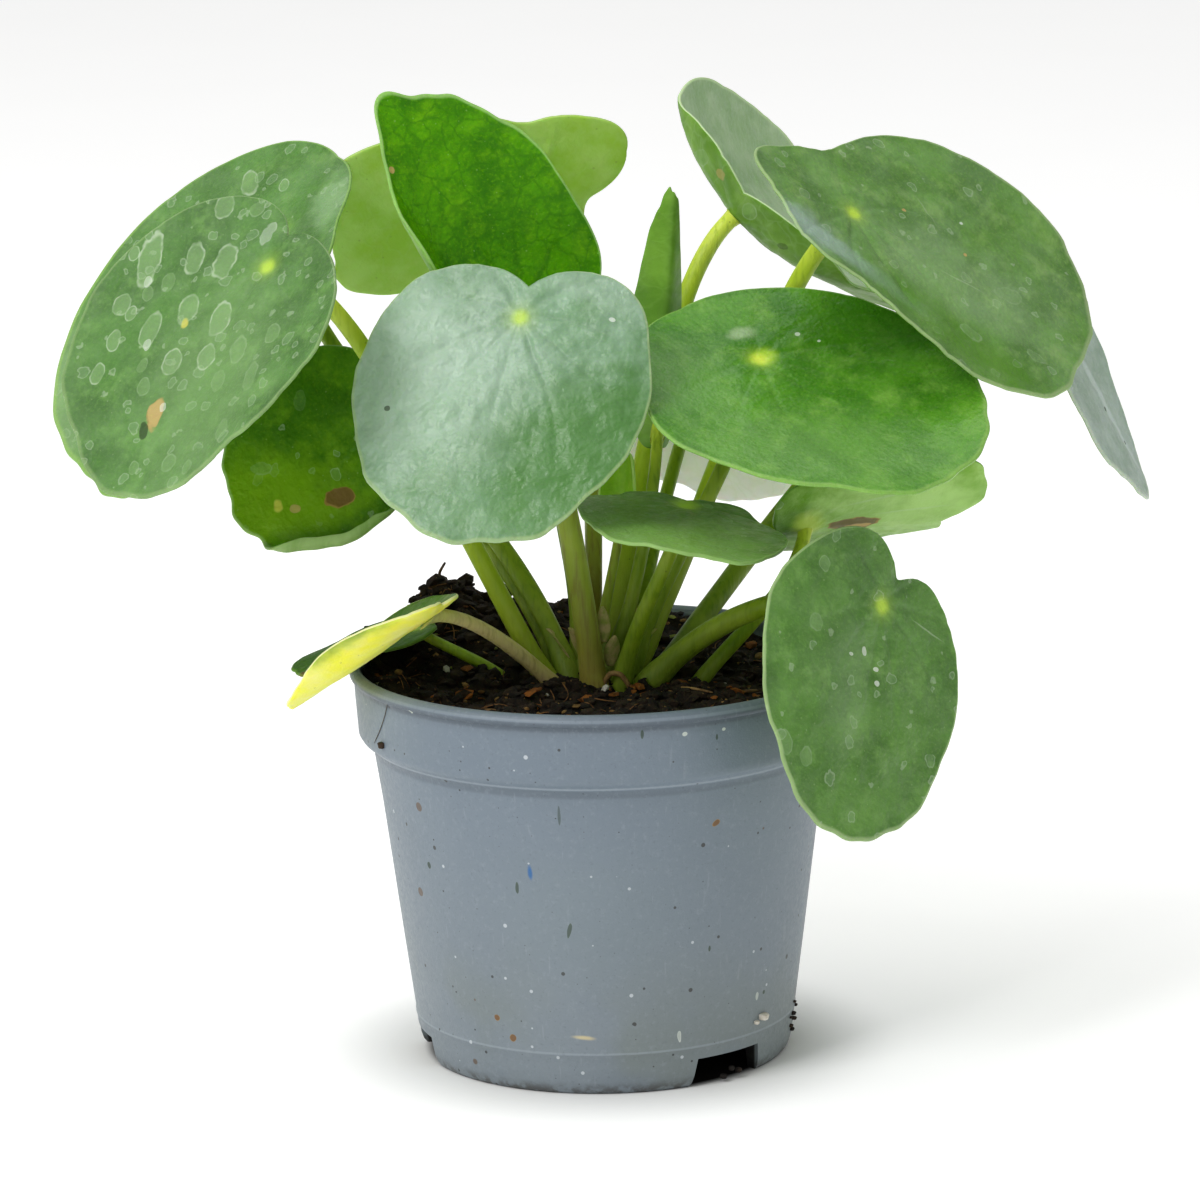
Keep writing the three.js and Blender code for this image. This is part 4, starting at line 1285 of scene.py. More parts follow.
    def dress(self, bench: Bench) -> Material:
        """Blue-grey moulded plastic: faint flow marks, scuffs, dust, a green tinge, and its own marks, with
        painted highlights on its edges and painted shade under its collar and lip and inside its foot.

        The marks lie on a map of the wall, whose first axis is the angle from the front times a mean radius
        and whose second is the height.
        """
        paint = Dressing("pot_plastic", bench)
        kit = paint.kit
        place = kit.vector("SUBTRACT", paint.places(), tuple(bench.frame.axis / MM))
        parts = kit.node("ShaderNodeSeparateXYZ")
        kit.put(parts.inputs[0], place)
        high = parts.outputs["Z"]
        angle = kit.math("ARCTAN2", parts.outputs["X"], kit.math("MULTIPLY", parts.outputs["Y"], -1.0))
        wall = kit.join(kit.math("MULTIPLY", angle, WALL_RADIUS), high)
        paint.start(kit.spread(high, 0.0, self.height), "#7d878e", "#727f8b")
        paint.lay(kit.cloud(place, 0.022, 0.35, 0.65, 4.0), "#68747f", 0.25)
        tinge = kit.math("MULTIPLY", kit.spread(high, 45.0, 8.0), kit.cloud(place, 0.03, 0.42, 0.62, 2.0))
        paint.lay(tinge, "#757d70", 0.38)
        # Painted shade: the wall darkens from just under the lip upwards.
        paint.lay(kit.spread(high, 89.5, 92.0), "#5c666f", 0.30)
        # Painted highlights and painted shade bands round the pot.
        for level, wide, code, share in POT_LIGHT_AND_SHADE_LINES:
            away = kit.math("ABSOLUTE", kit.math("SUBTRACT", high, level))
            paint.lay(kit.spread(away, wide * 0.4, wide, 1.0, 0.0), code, share)
        paint.lay(kit.cloud(place, 0.7, 0.50, 0.75, 5.0, 0.7), "#9ca6ae", 0.22)
        paint.lay(kit.cloud(place, 1.3, 0.56, 0.74, 3.0, 0.6), "#525c66", 0.25)
        scratches = kit.vector("MULTIPLY", place, (1.0, 1.0, 0.05))
        paint.lay(kit.cloud(scratches, 0.9, 0.66, 0.74, 2.0), "#b5bcc2", 0.10)
        for specks in POT_SPECKS:
            paint.strew(place, *specks)
        paint.roughen(place, 0.8, 0.38, 0.52, 4.0)
        for mark in POT_MARKS:
            paint.mark(wall, mark)
        # Darker and mottled towards the bottom of the foot.
        foot_darkening = kit.math("MULTIPLY", kit.spread(high, 3.5, 0.6), kit.cloud(place, 0.3, 0.40, 0.6, 4.0))
        paint.lay(foot_darkening, "#3a342c", 0.7)
        # Painted shade inside the foot ring and under the pot's floor, in the lowest 16 millimetres.
        radius = kit.vector("LENGTH", kit.vector("MULTIPLY", place, (1.0, 1.0, 0.0)))
        inside = kit.math("MULTIPLY_ADD", high, -0.14, radius)
        inside = kit.spread(inside, self.base - 1.6, self.base - 1.0, 1.0, 0.0)
        paint.lay(kit.math("MULTIPLY", inside, kit.spread(high, 16.0, 12.0)), UNDER_POT_SHADE, 0.95)
        height = kit.math("MULTIPLY_ADD", kit.noise(place, 2.2, 2.0), 0.5, kit.noise(place, 0.05, 2.0))
        return paint.close(
            height, 0.0004, 0.35, Specular_IOR_Level=0.4, Subsurface_Weight=0.05,
            Subsurface_Radius=(0.5, 0.5, 0.6), Subsurface_Scale=0.001,
        )


# ---- soil


@dataclass(frozen=True)
class Grains:
    """A kind of loose grain on the soil.

    size is the smallest and the largest radius, seed the seed of the draw, and codes the main, dark and light
    display colours. flatness is the height as a share of the width, and sink how deep a grain sits, as a
    share of its size. patch is the centre and the radius of the disc that the grains lie on.
    """

    name: str
    count: int
    size: Pair
    seed: int
    codes: tuple[str, str, str]
    flatness: float
    sink: float
    patch: Triple


GRAINS = (
    Grains("crumbs", 2900, (0.35, 1.9), 7, ("#33261a", "#120e0a", "#5f452c"), 0.75, 0.15, (0, 0, 55.5)),
    Grains("heap_clumps", 260, (0.6, 2.6), 9, ("#35251a", "#1a120c", "#5f4630"), 0.8, 0.2, (-37, 31, 19)),
    Grains("bark_chips", 120, (0.7, 2.2), 12, ("#9a5c24", "#5c340f", "#cc8c40"), 0.4, 0.0, (0, 0, 53)),
    Grains("tan_bits", 360, (0.3, 1.1), 21, ("#9c7c4a", "#664824", "#d0b078"), 0.7, 0.0, (0, 0, 54)),
    Grains("perlite", 40, (0.4, 1.2), 16, ("#d9d6cc", "#b5b0a2", "#f0eee8"), 0.9, 0.0, (0, 0, 54)),
    Grains("green_bits", 60, (0.4, 1.1), 25, ("#8c9448", "#5c6428", "#bcc484"), 0.5, 0.0, (0, 0, 50)),
)


@dataclass
class Soil:
    """Dark peat that fills the pot, lumpy, and heaped at the back left."""

    level: float = 91.0
    reach: float = 57.0
    lip: float = 94.6
    rings: int = 130
    segments: int = 330
    sharp: float = 32.0

    def height(self, x: Array, y: Array) -> Array:
        """The broad surface: a level, a heap and broad lumps, as sums of bells and sines."""
        heap = 15 * np.exp(-((x + 38) ** 2 + (y - 33) ** 2) / 520)
        behind = 5 * np.exp(-((x + 2) ** 2 + (y - 46) ** 2) / 500)
        lumps = 0.9 * np.sin(0.31 * x + 1.1) * np.cos(0.27 * y - 0.6)
        lumps = lumps + 0.6 * np.sin(0.63 * x - 0.52 * y + 2.0) + 0.35 * np.sin(1.1 * x + 0.9 * y)
        return self.level + heap + behind + lumps

    def surface(self, x: Array, y: Array) -> Array:
        """The broad surface roughened into clods and crumbs, and kept under the lip at the wall."""
        place = np.stack([x, y, np.zeros_like(x)], axis=-1)
        clods = 1.5 * layered_noise(place, 7.0, 3, 4) + 0.9 * np.abs(lattice_noise(place, 2.6, 8))
        height = self.height(x, y) + clods - 0.6
        return np.where(np.hypot(x, y) > self.reach - 2.5, np.minimum(height, self.lip), height)

    def make(self, bench: Bench) -> Piece:
        """Builds the body: the rough surface on rings of points, joined down the wall to the floor."""
        turn = np.linspace(0, 2 * pi, self.segments, endpoint=False)
        wall = np.array([(43.6, 8.9), (44.4, 10.6), (53.1, 77.8), (56.4, 81.1)])
        radii = self.reach * np.linspace(1, 0.004, self.rings)
        x = radii[:, None] * np.cos(turn)
        y = radii[:, None] * np.sin(turn)
        top = np.stack([x, y, self.surface(x, y)], axis=-1)
        ring = np.stack([np.cos(turn), np.sin(turn)], axis=-1)
        levels = np.broadcast_to(wall[:, None, 1:], (len(wall), len(turn), 1))
        side = np.concatenate([wall[:, None, :1] * ring, levels], axis=-1)
        poles = [(0, 0, wall[0, 1]), top[-1].mean(axis=0)]
        points, parts = capped(np.concatenate([side, top]), poles)
        material = self.dress("peat", ("#261c13", "#0e0b08", "#5a422c"), bench)
        return build(bench, "soil_body", points, parts, (material,))

    def scatter(self, bench: Bench, grains: Grains) -> Piece:
        """Loose grains on the surface, in one object.

        Formula: each grain is a twenty-sided solid, stretched, roughened and turned at random.
        """
        draw = np.random.default_rng(grains.seed)
        golden = (1 + 5**0.5) / 2
        corners = np.array([(0, a, b * golden) for a in (-1, 1) for b in (-1, 1)], float)
        corners = unit(np.concatenate([corners, corners[:, (1, 2, 0)], corners[:, (2, 0, 1)]]))
        gaps = np.linalg.norm(corners[:, None] - corners[None], axis=-1)
        near = gaps < np.min(gaps[gaps > 0.1]) * 1.05
        trios = np.array(list(combinations(range(len(corners)), 3)))
        trios = trios[np.all([near[trios[:, i], trios[:, j]] for i, j in ((0, 1), (1, 2), (0, 2))], axis=0)]
        a, b, c = (corners[trios[:, k]] for k in range(3))
        flip = np.sum(np.cross(b - a, c - a) * a, axis=1) < 0
        trios[flip] = trios[flip][:, ::-1]
        count = grains.count
        radius = grains.size[0] + (grains.size[1] - grains.size[0]) * draw.random(count) ** 3
        stretch = np.stack([1 + 0.7 * draw.random(count), 0.7 + 0.5 * draw.random(count),
                            grains.flatness * (0.6 + 0.6 * draw.random(count))], axis=-1)
        shapes = corners[None] * (1 + 0.28 * draw.uniform(-1, 1, (count, 12, 1))) * stretch[:, None]
        shapes = shapes * radius[:, None, None]
        spin = draw.uniform(0, 2 * pi, count)
        tip = draw.normal(0, 0.5, count)
        cs, sn, ct, st = np.cos(spin), np.sin(spin), np.cos(tip), np.sin(tip)
        zero, one = np.zeros(count), np.ones(count)
        tilt = np.stack([one, zero, zero, zero, ct, -st, zero, st, ct], axis=-1).reshape(-1, 3, 3)
        turn = np.stack([cs, -sn, zero, sn, cs, zero, zero, zero, one], axis=-1).reshape(-1, 3, 3)
        shapes = np.einsum("nij,nkj->nki", turn @ tilt, shapes)
        x, y, within = grains.patch
        bearing, away = draw.uniform(0, 2 * pi, count), within * np.sqrt(draw.random(count))
        x, y = x + away * np.cos(bearing), y + away * np.sin(bearing)
        z = self.surface(x, y) + radius * stretch[:, 2] * (0.5 - grains.sink)
        points = (shapes + np.stack([x, y, z], axis=-1)[:, None]).reshape(-1, 3)
        faces = (trios[None] + len(corners) * np.arange(count)[:, None, None]).reshape(-1, 3)
        material = self.dress(grains.name, grains.codes, bench)
        piece = build(bench, grains.name, points, (Part(faces, 0),), (material,), turn_out=False)
        piece.data.set_sharp_from_angle(angle=radians(self.sharp))
        return piece

    def dress(self, name: str, codes: tuple[str, str, str], bench: Bench) -> Material:
        """Damp crumbly matter: its main, dark and light tones in fine grain, and lighter dust."""
        main, dark, light = codes
        paint = Dressing(f"{name}_matter", bench)
        kit = paint.kit
        place = paint.places()
        paint.start(kit.cloud(place, 0.35, 0.35, 0.65, 4.0), dark, main)
        paint.lay(kit.cloud(place, 0.9, 0.60, 0.80), light)
        paint.strew(place, 0.8, 0.10, "#8a6a48", 0.7)
        paint.roughen(place, 0.7, 0.72, 0.95)
        return paint.close(kit.noise(place, 1.3, 5.0, 0.7), 0.0012, 0.9, Specular_IOR_Level=0.25)


# ---- crown and small matter


@dataclass
class Crown:
    """The short main stem in the soil: an oval taper ringed with old leaf scars, with a domed top."""

    middle: Pair = (1.0, 1.0)
    levels: Pair = (52.0, 101.0)
    foot: Pair = (8.5, 6.0)
    top: Pair = (6.5, 4.5)
    rows: int = 60
    columns: int = 48

    def make(self, bench: Bench) -> Piece:
        """Builds the stem: rings of an oval whose half axes taper, swell at each scar and close in a dome."""
        share = np.linspace(0, 1, self.rows)
        turn = np.linspace(0, 2 * pi, self.columns, endpoint=False)
        dome = np.sqrt(np.clip(1 - smooth(share, 0.78, 1.0) ** 2 * 0.995, 0.003, 1))
        scars = 1 + 0.05 * np.abs(np.sin(share * 34)) + 0.03 * np.sin(share * 11)
        half = np.array(self.foot) + (np.array(self.top) - np.array(self.foot)) * share[:, None]
        half = half * (dome * scars)[:, None]
        x = self.middle[0] + half[:, :1] * np.cos(turn) * (1 + 0.04 * np.sin(3 * turn))
        y = self.middle[1] + half[:, 1:] * np.sin(turn) * (1 + 0.04 * np.cos(4 * turn))
        low, high = self.levels
        z = low + (high - low) * share[:, None] + 0 * turn
        poles = [(*self.middle, low), (*self.middle, high + 0.3)]
        points, parts = capped(np.stack([x, y, z], axis=-1), poles)
        return build(bench, "main_stem", points, parts, (self.dress(bench),))

    def dress(self, bench: Bench) -> Material:
        """Olive green skin, mottled and flecked with cork."""
        paint = Dressing("stem_skin", bench)
        kit = paint.kit
        place = paint.places()
        paint.start(kit.cloud(place, 0.25, 0.4, 0.6, 4.0), "#98ac3c", "#7c8c30")
        paint.strew(place, 0.9, 0.3, "#565226", 0.6)
        paint.roughen(place, 0.6, 0.5, 0.75)
        return paint.close(kit.noise(place, 0.9, 4.0), 0.0006, 0.8)


Thread = tuple[Array, tuple[Part, Part, Part]]


# Foot, compass bearing, length, width and lean of each papery scale.
SCALES = (
    (-4.5, -3.5, 96, -40, 9, 4.5, 0.5), (3.0, -5.0, 95, 20, 8, 4.0, 0.35), (8.5, -1.5, 94, 75, 9.5, 4.5, 0.6),
    (-8.0, 1.0, 95, -95, 8, 4.0, 0.6), (1.0, -5.8, 101, -5, 9, 3.5, 0.15), (6.5, 3.0, 99, 110, 8, 3.8, 0.4),
)

# Name, tones and grains of what sticks to the pot, each grain an angle, a height, a length and a radius.
STUCK = (
    ("wall_soil", ("#1c1713", "#3a2c20"), (
        (-62.3, 82, 1.6, 1.1), (79, 9.0, 0.9, 0.8), (81.5, 7.2, 0.8, 0.9), (77.5, 6.2, 0.8, 0.7),
        (83, 10.2, 0.7, 0.6), (80, 4.8, 0.9, 0.8), (76, 8.6, 0.6, 0.5), (84.5, 6.4, 0.7, 0.6),
        (79.5, 11.8, 0.6, 0.5), (44, 2.0, 1.2, 0.9), (38, 1.4, 1.0, 1.0), (41, 3.0, 1.0, 0.8),
    )),
    ("wall_perlite", ("#e4dfd4", "#c8c0b0"), ((53.2, 13.9, 1.6, 1.5), (50.4, 12.9, 0.9, 0.8))),
)


@dataclass
class Litter:
    """Threads and scales on the soil, and a hair and stuck grains on the pot."""

    soil: Soil
    sides: int = 7
    point: float = 0.02
    fibre_count: int = 150
    stuck_over: float = 0.2
    def thread(self, nodes: Array, radius: Pair, count: int = 26) -> Thread:
        """A round thread along a smooth curve through a few points, with closed ends.

        Formula: the points are joined by straight runs that a moving mean rounds off, and rings of a small
        circle run along them.

        Args:
            nodes: Places that the thread passes, (n, 3).
            radius: Its radius at each end.
            count: Number of rings.

        Returns:
            Points and faces.
        """
        t = np.linspace(0, len(nodes) - 1, count)
        line = resample(nodes, np.arange(len(nodes)), t)
        kernel = np.array([1, 2, 3, 2, 1]) / 9
        padded = np.concatenate([line[:1]] * 2 + [line] + [line[-1:]] * 2)
        line = np.stack([np.convolve(padded[:, axis], kernel, "valid") for axis in range(3)], axis=-1)
        tangent = unit(np.gradient(line, axis=0))
        ring = circles(tangent, unit(np.cross(tangent, (0.3, 0.2, 1.0))), self.sides)[1]
        width = np.interp(t, [0, len(nodes) - 1], radius)
        width = width * np.sqrt(np.clip(1 - np.abs(np.linspace(-1, 1, count)) ** 12, 0.02, 1))
        poles = [line[0] - tangent[0] * self.point, line[-1] + tangent[-1] * self.point]
        return capped(line[:, None] + width[:, None, None] * ring, poles)

    def join(self, bench: Bench, name: str, threads: Sequence[Thread], material: Material) -> Piece:
        """Puts several threads into one mesh."""
        quads, triangles, start = [], [], 0
        for place, (skin, first, last) in threads:
            quads.append(skin.faces + start)
            triangles += [first.faces + start, last.faces + start]
            start += len(place)
        parts = (Part(np.concatenate(quads), 0), Part(np.concatenate(triangles), 0))
        return build(bench, name, np.concatenate([place for place, _ in threads]), parts, (material,))

    def on_soil(self, x: Array, y: Array, over: float) -> Array:
        """Points at a height over the soil's surface."""
        x, y = np.asarray(x, float), np.asarray(y, float)
        return np.stack([x, y, self.soil.surface(x, y) + over], axis=-1)

    def fibres(self, bench: Bench) -> Piece:
        """Short bent fibres strewn over the surface, thicker on the heap."""
        draw = np.random.default_rng(31)
        threads = []
        for index in range(self.fibre_count):
            heaped = index % 2 == 0
            middle = (-36, 30) if heaped else (0, 0)
            spread = 17 if heaped else 50
            bearing, away = draw.uniform(0, 2 * pi), spread * draw.random() ** 0.5
            x, y = middle[0] + away * cos(bearing), middle[1] + away * sin(bearing)
            shrink = min(1.0, 52 / max(np.hypot(x, y), 1))
            x, y = x * shrink, y * shrink
            heading, length = draw.uniform(0, 2 * pi), draw.uniform(3, 11)
            steps = np.linspace(-0.5, 0.5, 5) * length
            bend = draw.normal(0, 0.12) * steps**2
            xs = x + steps * cos(heading) - bend * sin(heading)
            ys = y + steps * sin(heading) + bend * cos(heading)
            over = 0.2 + draw.uniform(0, 1.0) * (1 - (2 * np.linspace(-0.5, 0.5, 5)) ** 2)
            nodes = self.on_soil(xs, ys, 0) + np.stack([0 * over, 0 * over, over], axis=-1)
            threads.append(self.thread(nodes, (0.16, 0.08), 9))
        material = self.dress("fibre", ("#5a3d25", "#8a6238"), 0.8, bench)
        return self.join(bench, "peat_fibres", threads, material)

    def roots(self, bench: Bench) -> Piece:
        """A pale root that loops out of the soil at the front, and two that run beside it."""
        loop = (
            (1, -7, 88), (1, -9, 92), (2.5, -10.5, 94.6), (5, -11, 94.4), (7, -10.5, 91.5), (7.5, -10, 87),
        )
        left = self.on_soil([-14, -18, -23, -26], [-12, -16, -17, -21], 0.3)
        right = self.on_soil([14, 19, 22, 27], [-14, -16, -21, -23], 0.3)
        threads = [
            self.thread(np.array(loop, float), (0.75, 0.6), 34), self.thread(left, (0.5, 0.25)),
            self.thread(right, (0.45, 0.25)),
        ]
        return self.join(bench, "roots", threads, self.dress("root", ("#9c7c4c", "#5e4426"), 0.6, bench))

    def twigs(self, bench: Bench) -> Piece:
        """Thin dry bits: one that stands up on the heap, and a few that lie on the soil."""
        heap = self.on_soil([-39, -38.6], [36, 36], 0)
        standing = np.array([heap[0] - (0, 0, 1), heap[0] + (0.3, 0, 3), heap[1] + (1.4, 0.4, 5.5)])
        threads = [self.thread(standing, (0.45, 0.3))]
        lying = (
            ((-47, -43, -38), (8, 6, 7)), ((31, 35, 40), (-19, -20, -17)), ((-30, -26, -21), (-31, -33, -32)),
        )
        threads += [self.thread(self.on_soil(x, y, 0.5), (0.5, 0.35)) for x, y in lying]
        return self.join(bench, "twigs", threads, self.dress("twig", ("#6e5233", "#2e2015"), 0.8, bench))

    def scales(self, bench: Bench) -> Piece:
        """Papery brown scales round the crown, where stalks leave it.

        Formula: a pointed oval, its width a sine of its length, cupped across and bent outwards along, and
        closed by a second face a third of a millimetre behind.
        """
        along, across = np.meshgrid(np.linspace(0, 1, 14), np.linspace(-1, 1, 9), indexing="ij")
        threads = []
        for x, y, z, bearing, length, wide, lean in SCALES:
            turn = radians(bearing)
            out = np.array([sin(turn), -cos(turn), 0])
            side = np.array([cos(turn), sin(turn), 0])
            width = wide / 2 * np.sin(pi * (0.12 + 0.86 * along)) ** 0.8 * across
            forward = lean * length * along**1.6 - 0.25 * wide * across**2 * (1 - 0.4 * along)
            face = (np.array([x, y, z]) + width[..., None] * side + forward[..., None] * out
                    + (length * along)[..., None] * np.array([0, 0, 1.0]))
            ring = np.concatenate([face, (face - 0.3 * out)[:, ::-1]], axis=1)
            threads.append(capped(ring, [ring[0].mean(axis=0), ring[-1].mean(axis=0)]))
        material = self.dress("scale", ("#c0b078", "#97a04c"), 0.7, bench)
        return self.join(bench, "papery_scales", threads, material)

    def on_wall(self, degrees: Union[float, Array], height: Array, over: float) -> Array:
        """Points at a height over the outside of the pot's wall, by angle from the front and height."""
        turn = np.radians(degrees)
        radius = np.interp(height, [0, 10, 76, 77.2, 80, 96], [44.6, 46.0, 54.7, 55.8, 58.2, 59.4]) + over
        return np.stack(np.broadcast_arrays(radius * np.sin(turn), -radius * np.cos(turn), height), axis=-1)

    def hair(self, bench: Bench) -> Piece:
        """A fine hair that lies on the pot's collar at the left of the front."""
        bearing = np.linspace(-57.6, -67.5, 9) + 1.2 * np.sin(np.linspace(0, 3.0, 9))
        nodes = self.on_wall(bearing, np.linspace(93.5, 81.2, 9), 0.1)
        material = self.dress("hair", ("#4a453c", "#5c5344"), 0.6, bench)
        return self.join(bench, "hair", [self.thread(nodes, (0.09, 0.09), 40)], material)

    def stuck(self, bench: Bench, name: str, codes: tuple[str, str], blobs: Sequence[tuple]) -> Piece:
        """Grains stuck to the pot's wall: short fat threads, whose rows are as in STUCK."""
        threads = []
        for degrees, height, length, radius in blobs:
            levels = np.array([height - length / 2, height, height + length / 2])
            nodes = self.on_wall(degrees, levels, radius * self.stuck_over)
            threads.append(self.thread(nodes, (radius * 0.8, radius), 12))
        return self.join(bench, name, threads, self.dress(name, codes, 0.85, bench))

    def dress(self, name: str, codes: tuple[str, str], rough: float, bench: Bench) -> Material:
        """Dry plant matter in two tones, with a fine grain."""
        paint = Dressing(f"{name}_matter", bench)
        kit = paint.kit
        place = paint.places()
        paint.start(kit.cloud(place, 0.4, 0.4, 0.65, 4.0), *codes)
        paint.roughen(place, 0.9, rough - 0.08, rough + 0.1)
        return paint.close(kit.noise(place, 1.8, 3.0), 0.0003, 0.8, Specular_IOR_Level=0.3)


# ---- studio


class Lamp(NamedTuple):
    """A square soft light: its name, its place and side in metres, and its power in watts."""

    name: str
    place: Triple
    side: float
    power: float


@dataclass
class Studio:
    """A plain pale floor, soft light and a camera at the photograph's angle.

    distance, aim, lens and sensor are in millimetres, height_angle and roll in degrees, and floor_half, half
    the floor's side, and sight, how far the camera sees, in metres. shaded and glowing are the distances from
    the pot's axis over which the painted shadow under the pot ends and the floor's glow begins.
    """

    distance: float = 1700.0
    height_angle: float = 16.4
    aim: Triple = (0.37, 0.0, 110.1)
    roll: float = -1.04
    lens: float = 209.5
    sensor: float = 36.0
    floor_half: float = 15.0
    sight: float = 60.0
    lamps: tuple[Lamp, ...] = (
        Lamp("overhead", (-0.25, 0.15, 1.5), 1.6, 8.0), Lamp("left front key", (-1.1, -1.1, 1.5), 0.8, 19.0),
    )
    lamp_aim: Triple = (0, 0, 0.15)
    room_light: float = 0.50
    floor_glow: float = 0.34
    shaded: Pair = (41.0, 44.5)
    glowing: Pair = (42.0, 75.0)

    def camera(self, frame: PlantFrame) -> None:
        """Places the camera on the front, above, rolled by a degree."""
        lift = radians(self.height_angle)
        eye = np.array([0.0, -self.distance * cos(lift), self.distance * sin(lift)])
        back = unit(eye - np.array(self.aim))
        right = unit(np.cross((0, 0, 1.0), back))
        up = np.cross(back, right)
        turn = radians(self.roll)
        turned = (cos(turn) * right + sin(turn) * up, -sin(turn) * right + cos(turn) * up)
        data = bpy.data.cameras.new("camera")
        data.lens = self.lens
        data.sensor_width = self.sensor
        data.clip_end = self.sight
        made = add("camera", data)
        columns = np.stack([*turned, back, frame.place(eye)], axis=-1)
        made.matrix_world = Matrix((*columns.tolist(), (0, 0, 0, 1)))
        bpy.context.scene.camera = made

    def light(self, lamp: Lamp) -> None:
        """Hangs a lamp that faces the plant."""
        data = bpy.data.lights.new(lamp.name, "AREA")
        data.shape = "SQUARE"
        data.size = lamp.side
        data.energy = lamp.power
        made = add(lamp.name, data)
        made.location = lamp.place
        made.rotation_euler = (Vector(self.lamp_aim) - Vector(lamp.place)).to_track_quat("-Z", "Y").to_euler()

    def floor(self, bench: Bench) -> None:
        """Lays the floor: pale, a little aglow as painted light, and with painted shadow where the pot stands
        on it.
        """
        half, ground = self.floor_half, bench.frame.axis.z
        corners = [(x * half, y * half, ground) for x, y in ((-1, -1), (1, -1), (1, 1), (-1, 1))]
        mesh = bpy.data.meshes.new("floor")
        mesh.from_pydata(corners, [], [(0, 1, 2, 3)])
        floor = add("floor", mesh)
        paint = Dressing("floor_finish", bench)
        kit = paint.kit
        paint.start(kit.noise(paint.places(), 0.01, 2.0), "#f6f6f5", "#f3f3f2")
        # Painted shadow: under the pot the colour turns to painted shade, and the floor's glow, itself
        # painted light, fades out round the pot's foot.
        away = kit.vector("DISTANCE", paint.places(), tuple(bench.frame.axis / MM))
        glow = kit.mix(kit.spread(away, *self.glowing), (0, 0, 0, 1), (1, 1, 1, 1))
        shade = kit.mix(kit.spread(away, *self.shaded), colour(UNDER_POT_SHADE), paint.shade)
        paint.set(
            Base_Color=shade, Roughness=0.9, Specular_IOR_Level=0.1, Emission_Color=glow,
            Emission_Strength=self.floor_glow,
        )
        mesh.materials.append(paint.material)

    def make(self, bench: Bench) -> None:
        """Builds the camera, the floor, the lights and the world."""
        self.camera(bench.frame)
        self.floor(bench)
        for lamp in self.lamps:
            self.light(lamp)
        world = bpy.data.worlds.new("room")
        world.use_nodes = True
        background = world.node_tree.nodes["Background"]
        background.inputs["Color"].default_value = (1, 1, 1, 1)
        background.inputs["Strength"].default_value = self.room_light
        bpy.context.scene.world = world
        bpy.context.scene.view_settings.view_transform = "Standard"


# ---- finishes of each leaf


GLAUCOUS = LeafFinish(
    "#5f9040", "#44702a", "#84a868", "#9ab692", 0.34, "#64942a", "#82ac46", margin="#a8c088", vein="#84a878",
    dot="#b5d64a", gloss=0.36, net=0.06, rays=0.06, edge=0.65,
)
BRIGHT = LeafFinish(
    "#549610", "#3a7a02", "#80b444", "#9ab48c", 0.06, "#689c30", "#90bc5c", margin="#9cc464", vein="#6da040",
    dot="#d8ee50", gloss=0.30, net=0.14, rays=0.08, hammer=0.5,
)
DEEP = LeafFinish(
    "#4e8004", "#366802", "#6f9c18", "#7c9c50", 0.08, "#7aa040", "#90b45c", margin="#8cb050", vein="#4c8420",
    dot="#b8d84a", gloss=0.34, net=0.12, rays=0.06, edge=0.3,
)
PALE = LeafFinish(
    "#98b85e", "#7fa744", "#b0cc86", "#c0d0a8", 0.20, "#98b866", "#b0cc86", margin="#bcd48a", vein="#a5c478",
    glow=0.35,
)
YELLOWED = LeafFinish(
    "#54802a", "#446c1e", "#7c9c3c", "#9cb060", 0.10, "#ffff40", "#ffff98", margin="#fdfdb8", vein="#fafabc",
    dot="#dfe27a", glow=0.3, edge=0.9,
    under_marks=(
        Mark(WASH, 18, 12, 64, 9, 84, 0.7, "#b4c828"), Mark(WASH, 21, 16, 50, 9, 86, 1.0, "#5c8420"),
        Mark(WASH, -9, 26, 40, 8, 84, 0.6, "#fdfdd0"),
    ),
)

# The dried drops on leaf 06, which all point one way: kind, place, length, width and strength.
DROPS_06 = (
    (WATER, -34, 8, 14, 6.5, 1.2), (CHALK, -31, 13, 3, 2, 0.5), (WATER, -39, 8, 4, 3, 1),
    (WATER, -22, 4, 9, 5, 1), (WATER, -13, 2, 10, 6, 1), (CHALK, -6, -8, 7, 3.5, 0.35),
    (WATER, -23, -11, 8, 5, 1), (GHOST, -14, -13, 5, 4, 1), (WATER, -34, 21, 6, 4.5, 1),
    (WATER, -30, 22, 4, 3, 1), (WATER, -22, 24, 10, 5.5, 1), (CHALK, -20, 28, 2.5, 2, 0.5),
    (WATER, -15, 16, 9, 5.5, 1), (YELLOW, -13, 20, 2.5, 2, 0.8), (WATER, -4, 16, 9, 5.5, 1),
    (GHOST, -29, 16, 4, 3, 1), (GHOST, -25, 12, 5, 3.5, 1), (WATER, -10, 30, 7, 5, 1),
    (WATER, -1, 26, 7, 5, 1), (GHOST, -18, 33, 4, 3, 1), (WATER, -30, 30, 6, 4, 1),
    (WATER, -29, 39, 6, 4, 1), (GHOST, 8, 22, 8, 5, 1), (GHOST, 18, 28, 7, 5, 1), (GHOST, 7, 31, 6, 4, 1),
    (GHOST, 16, 16, 5, 4, 1), (GHOST, -14, 38, 5, 4, 1), (GHOST, 18, 42, 6, 4, 1), (GHOST, 6, 53, 5, 4, 1),
    (GHOST, 13, 53, 4, 3, 1), (GHOST, -4, 57, 4, 3, 1), (TAN, -6, 43, 8, 4.5, 1),
    (CHALK, -5, 41, 2.5, 2, 0.6), (DARK, -7, 48, 4, 2.5, 1),
)
WATER_MARKS_06 = tuple(Mark(*row[:5], 68, row[5]) for row in DROPS_06)

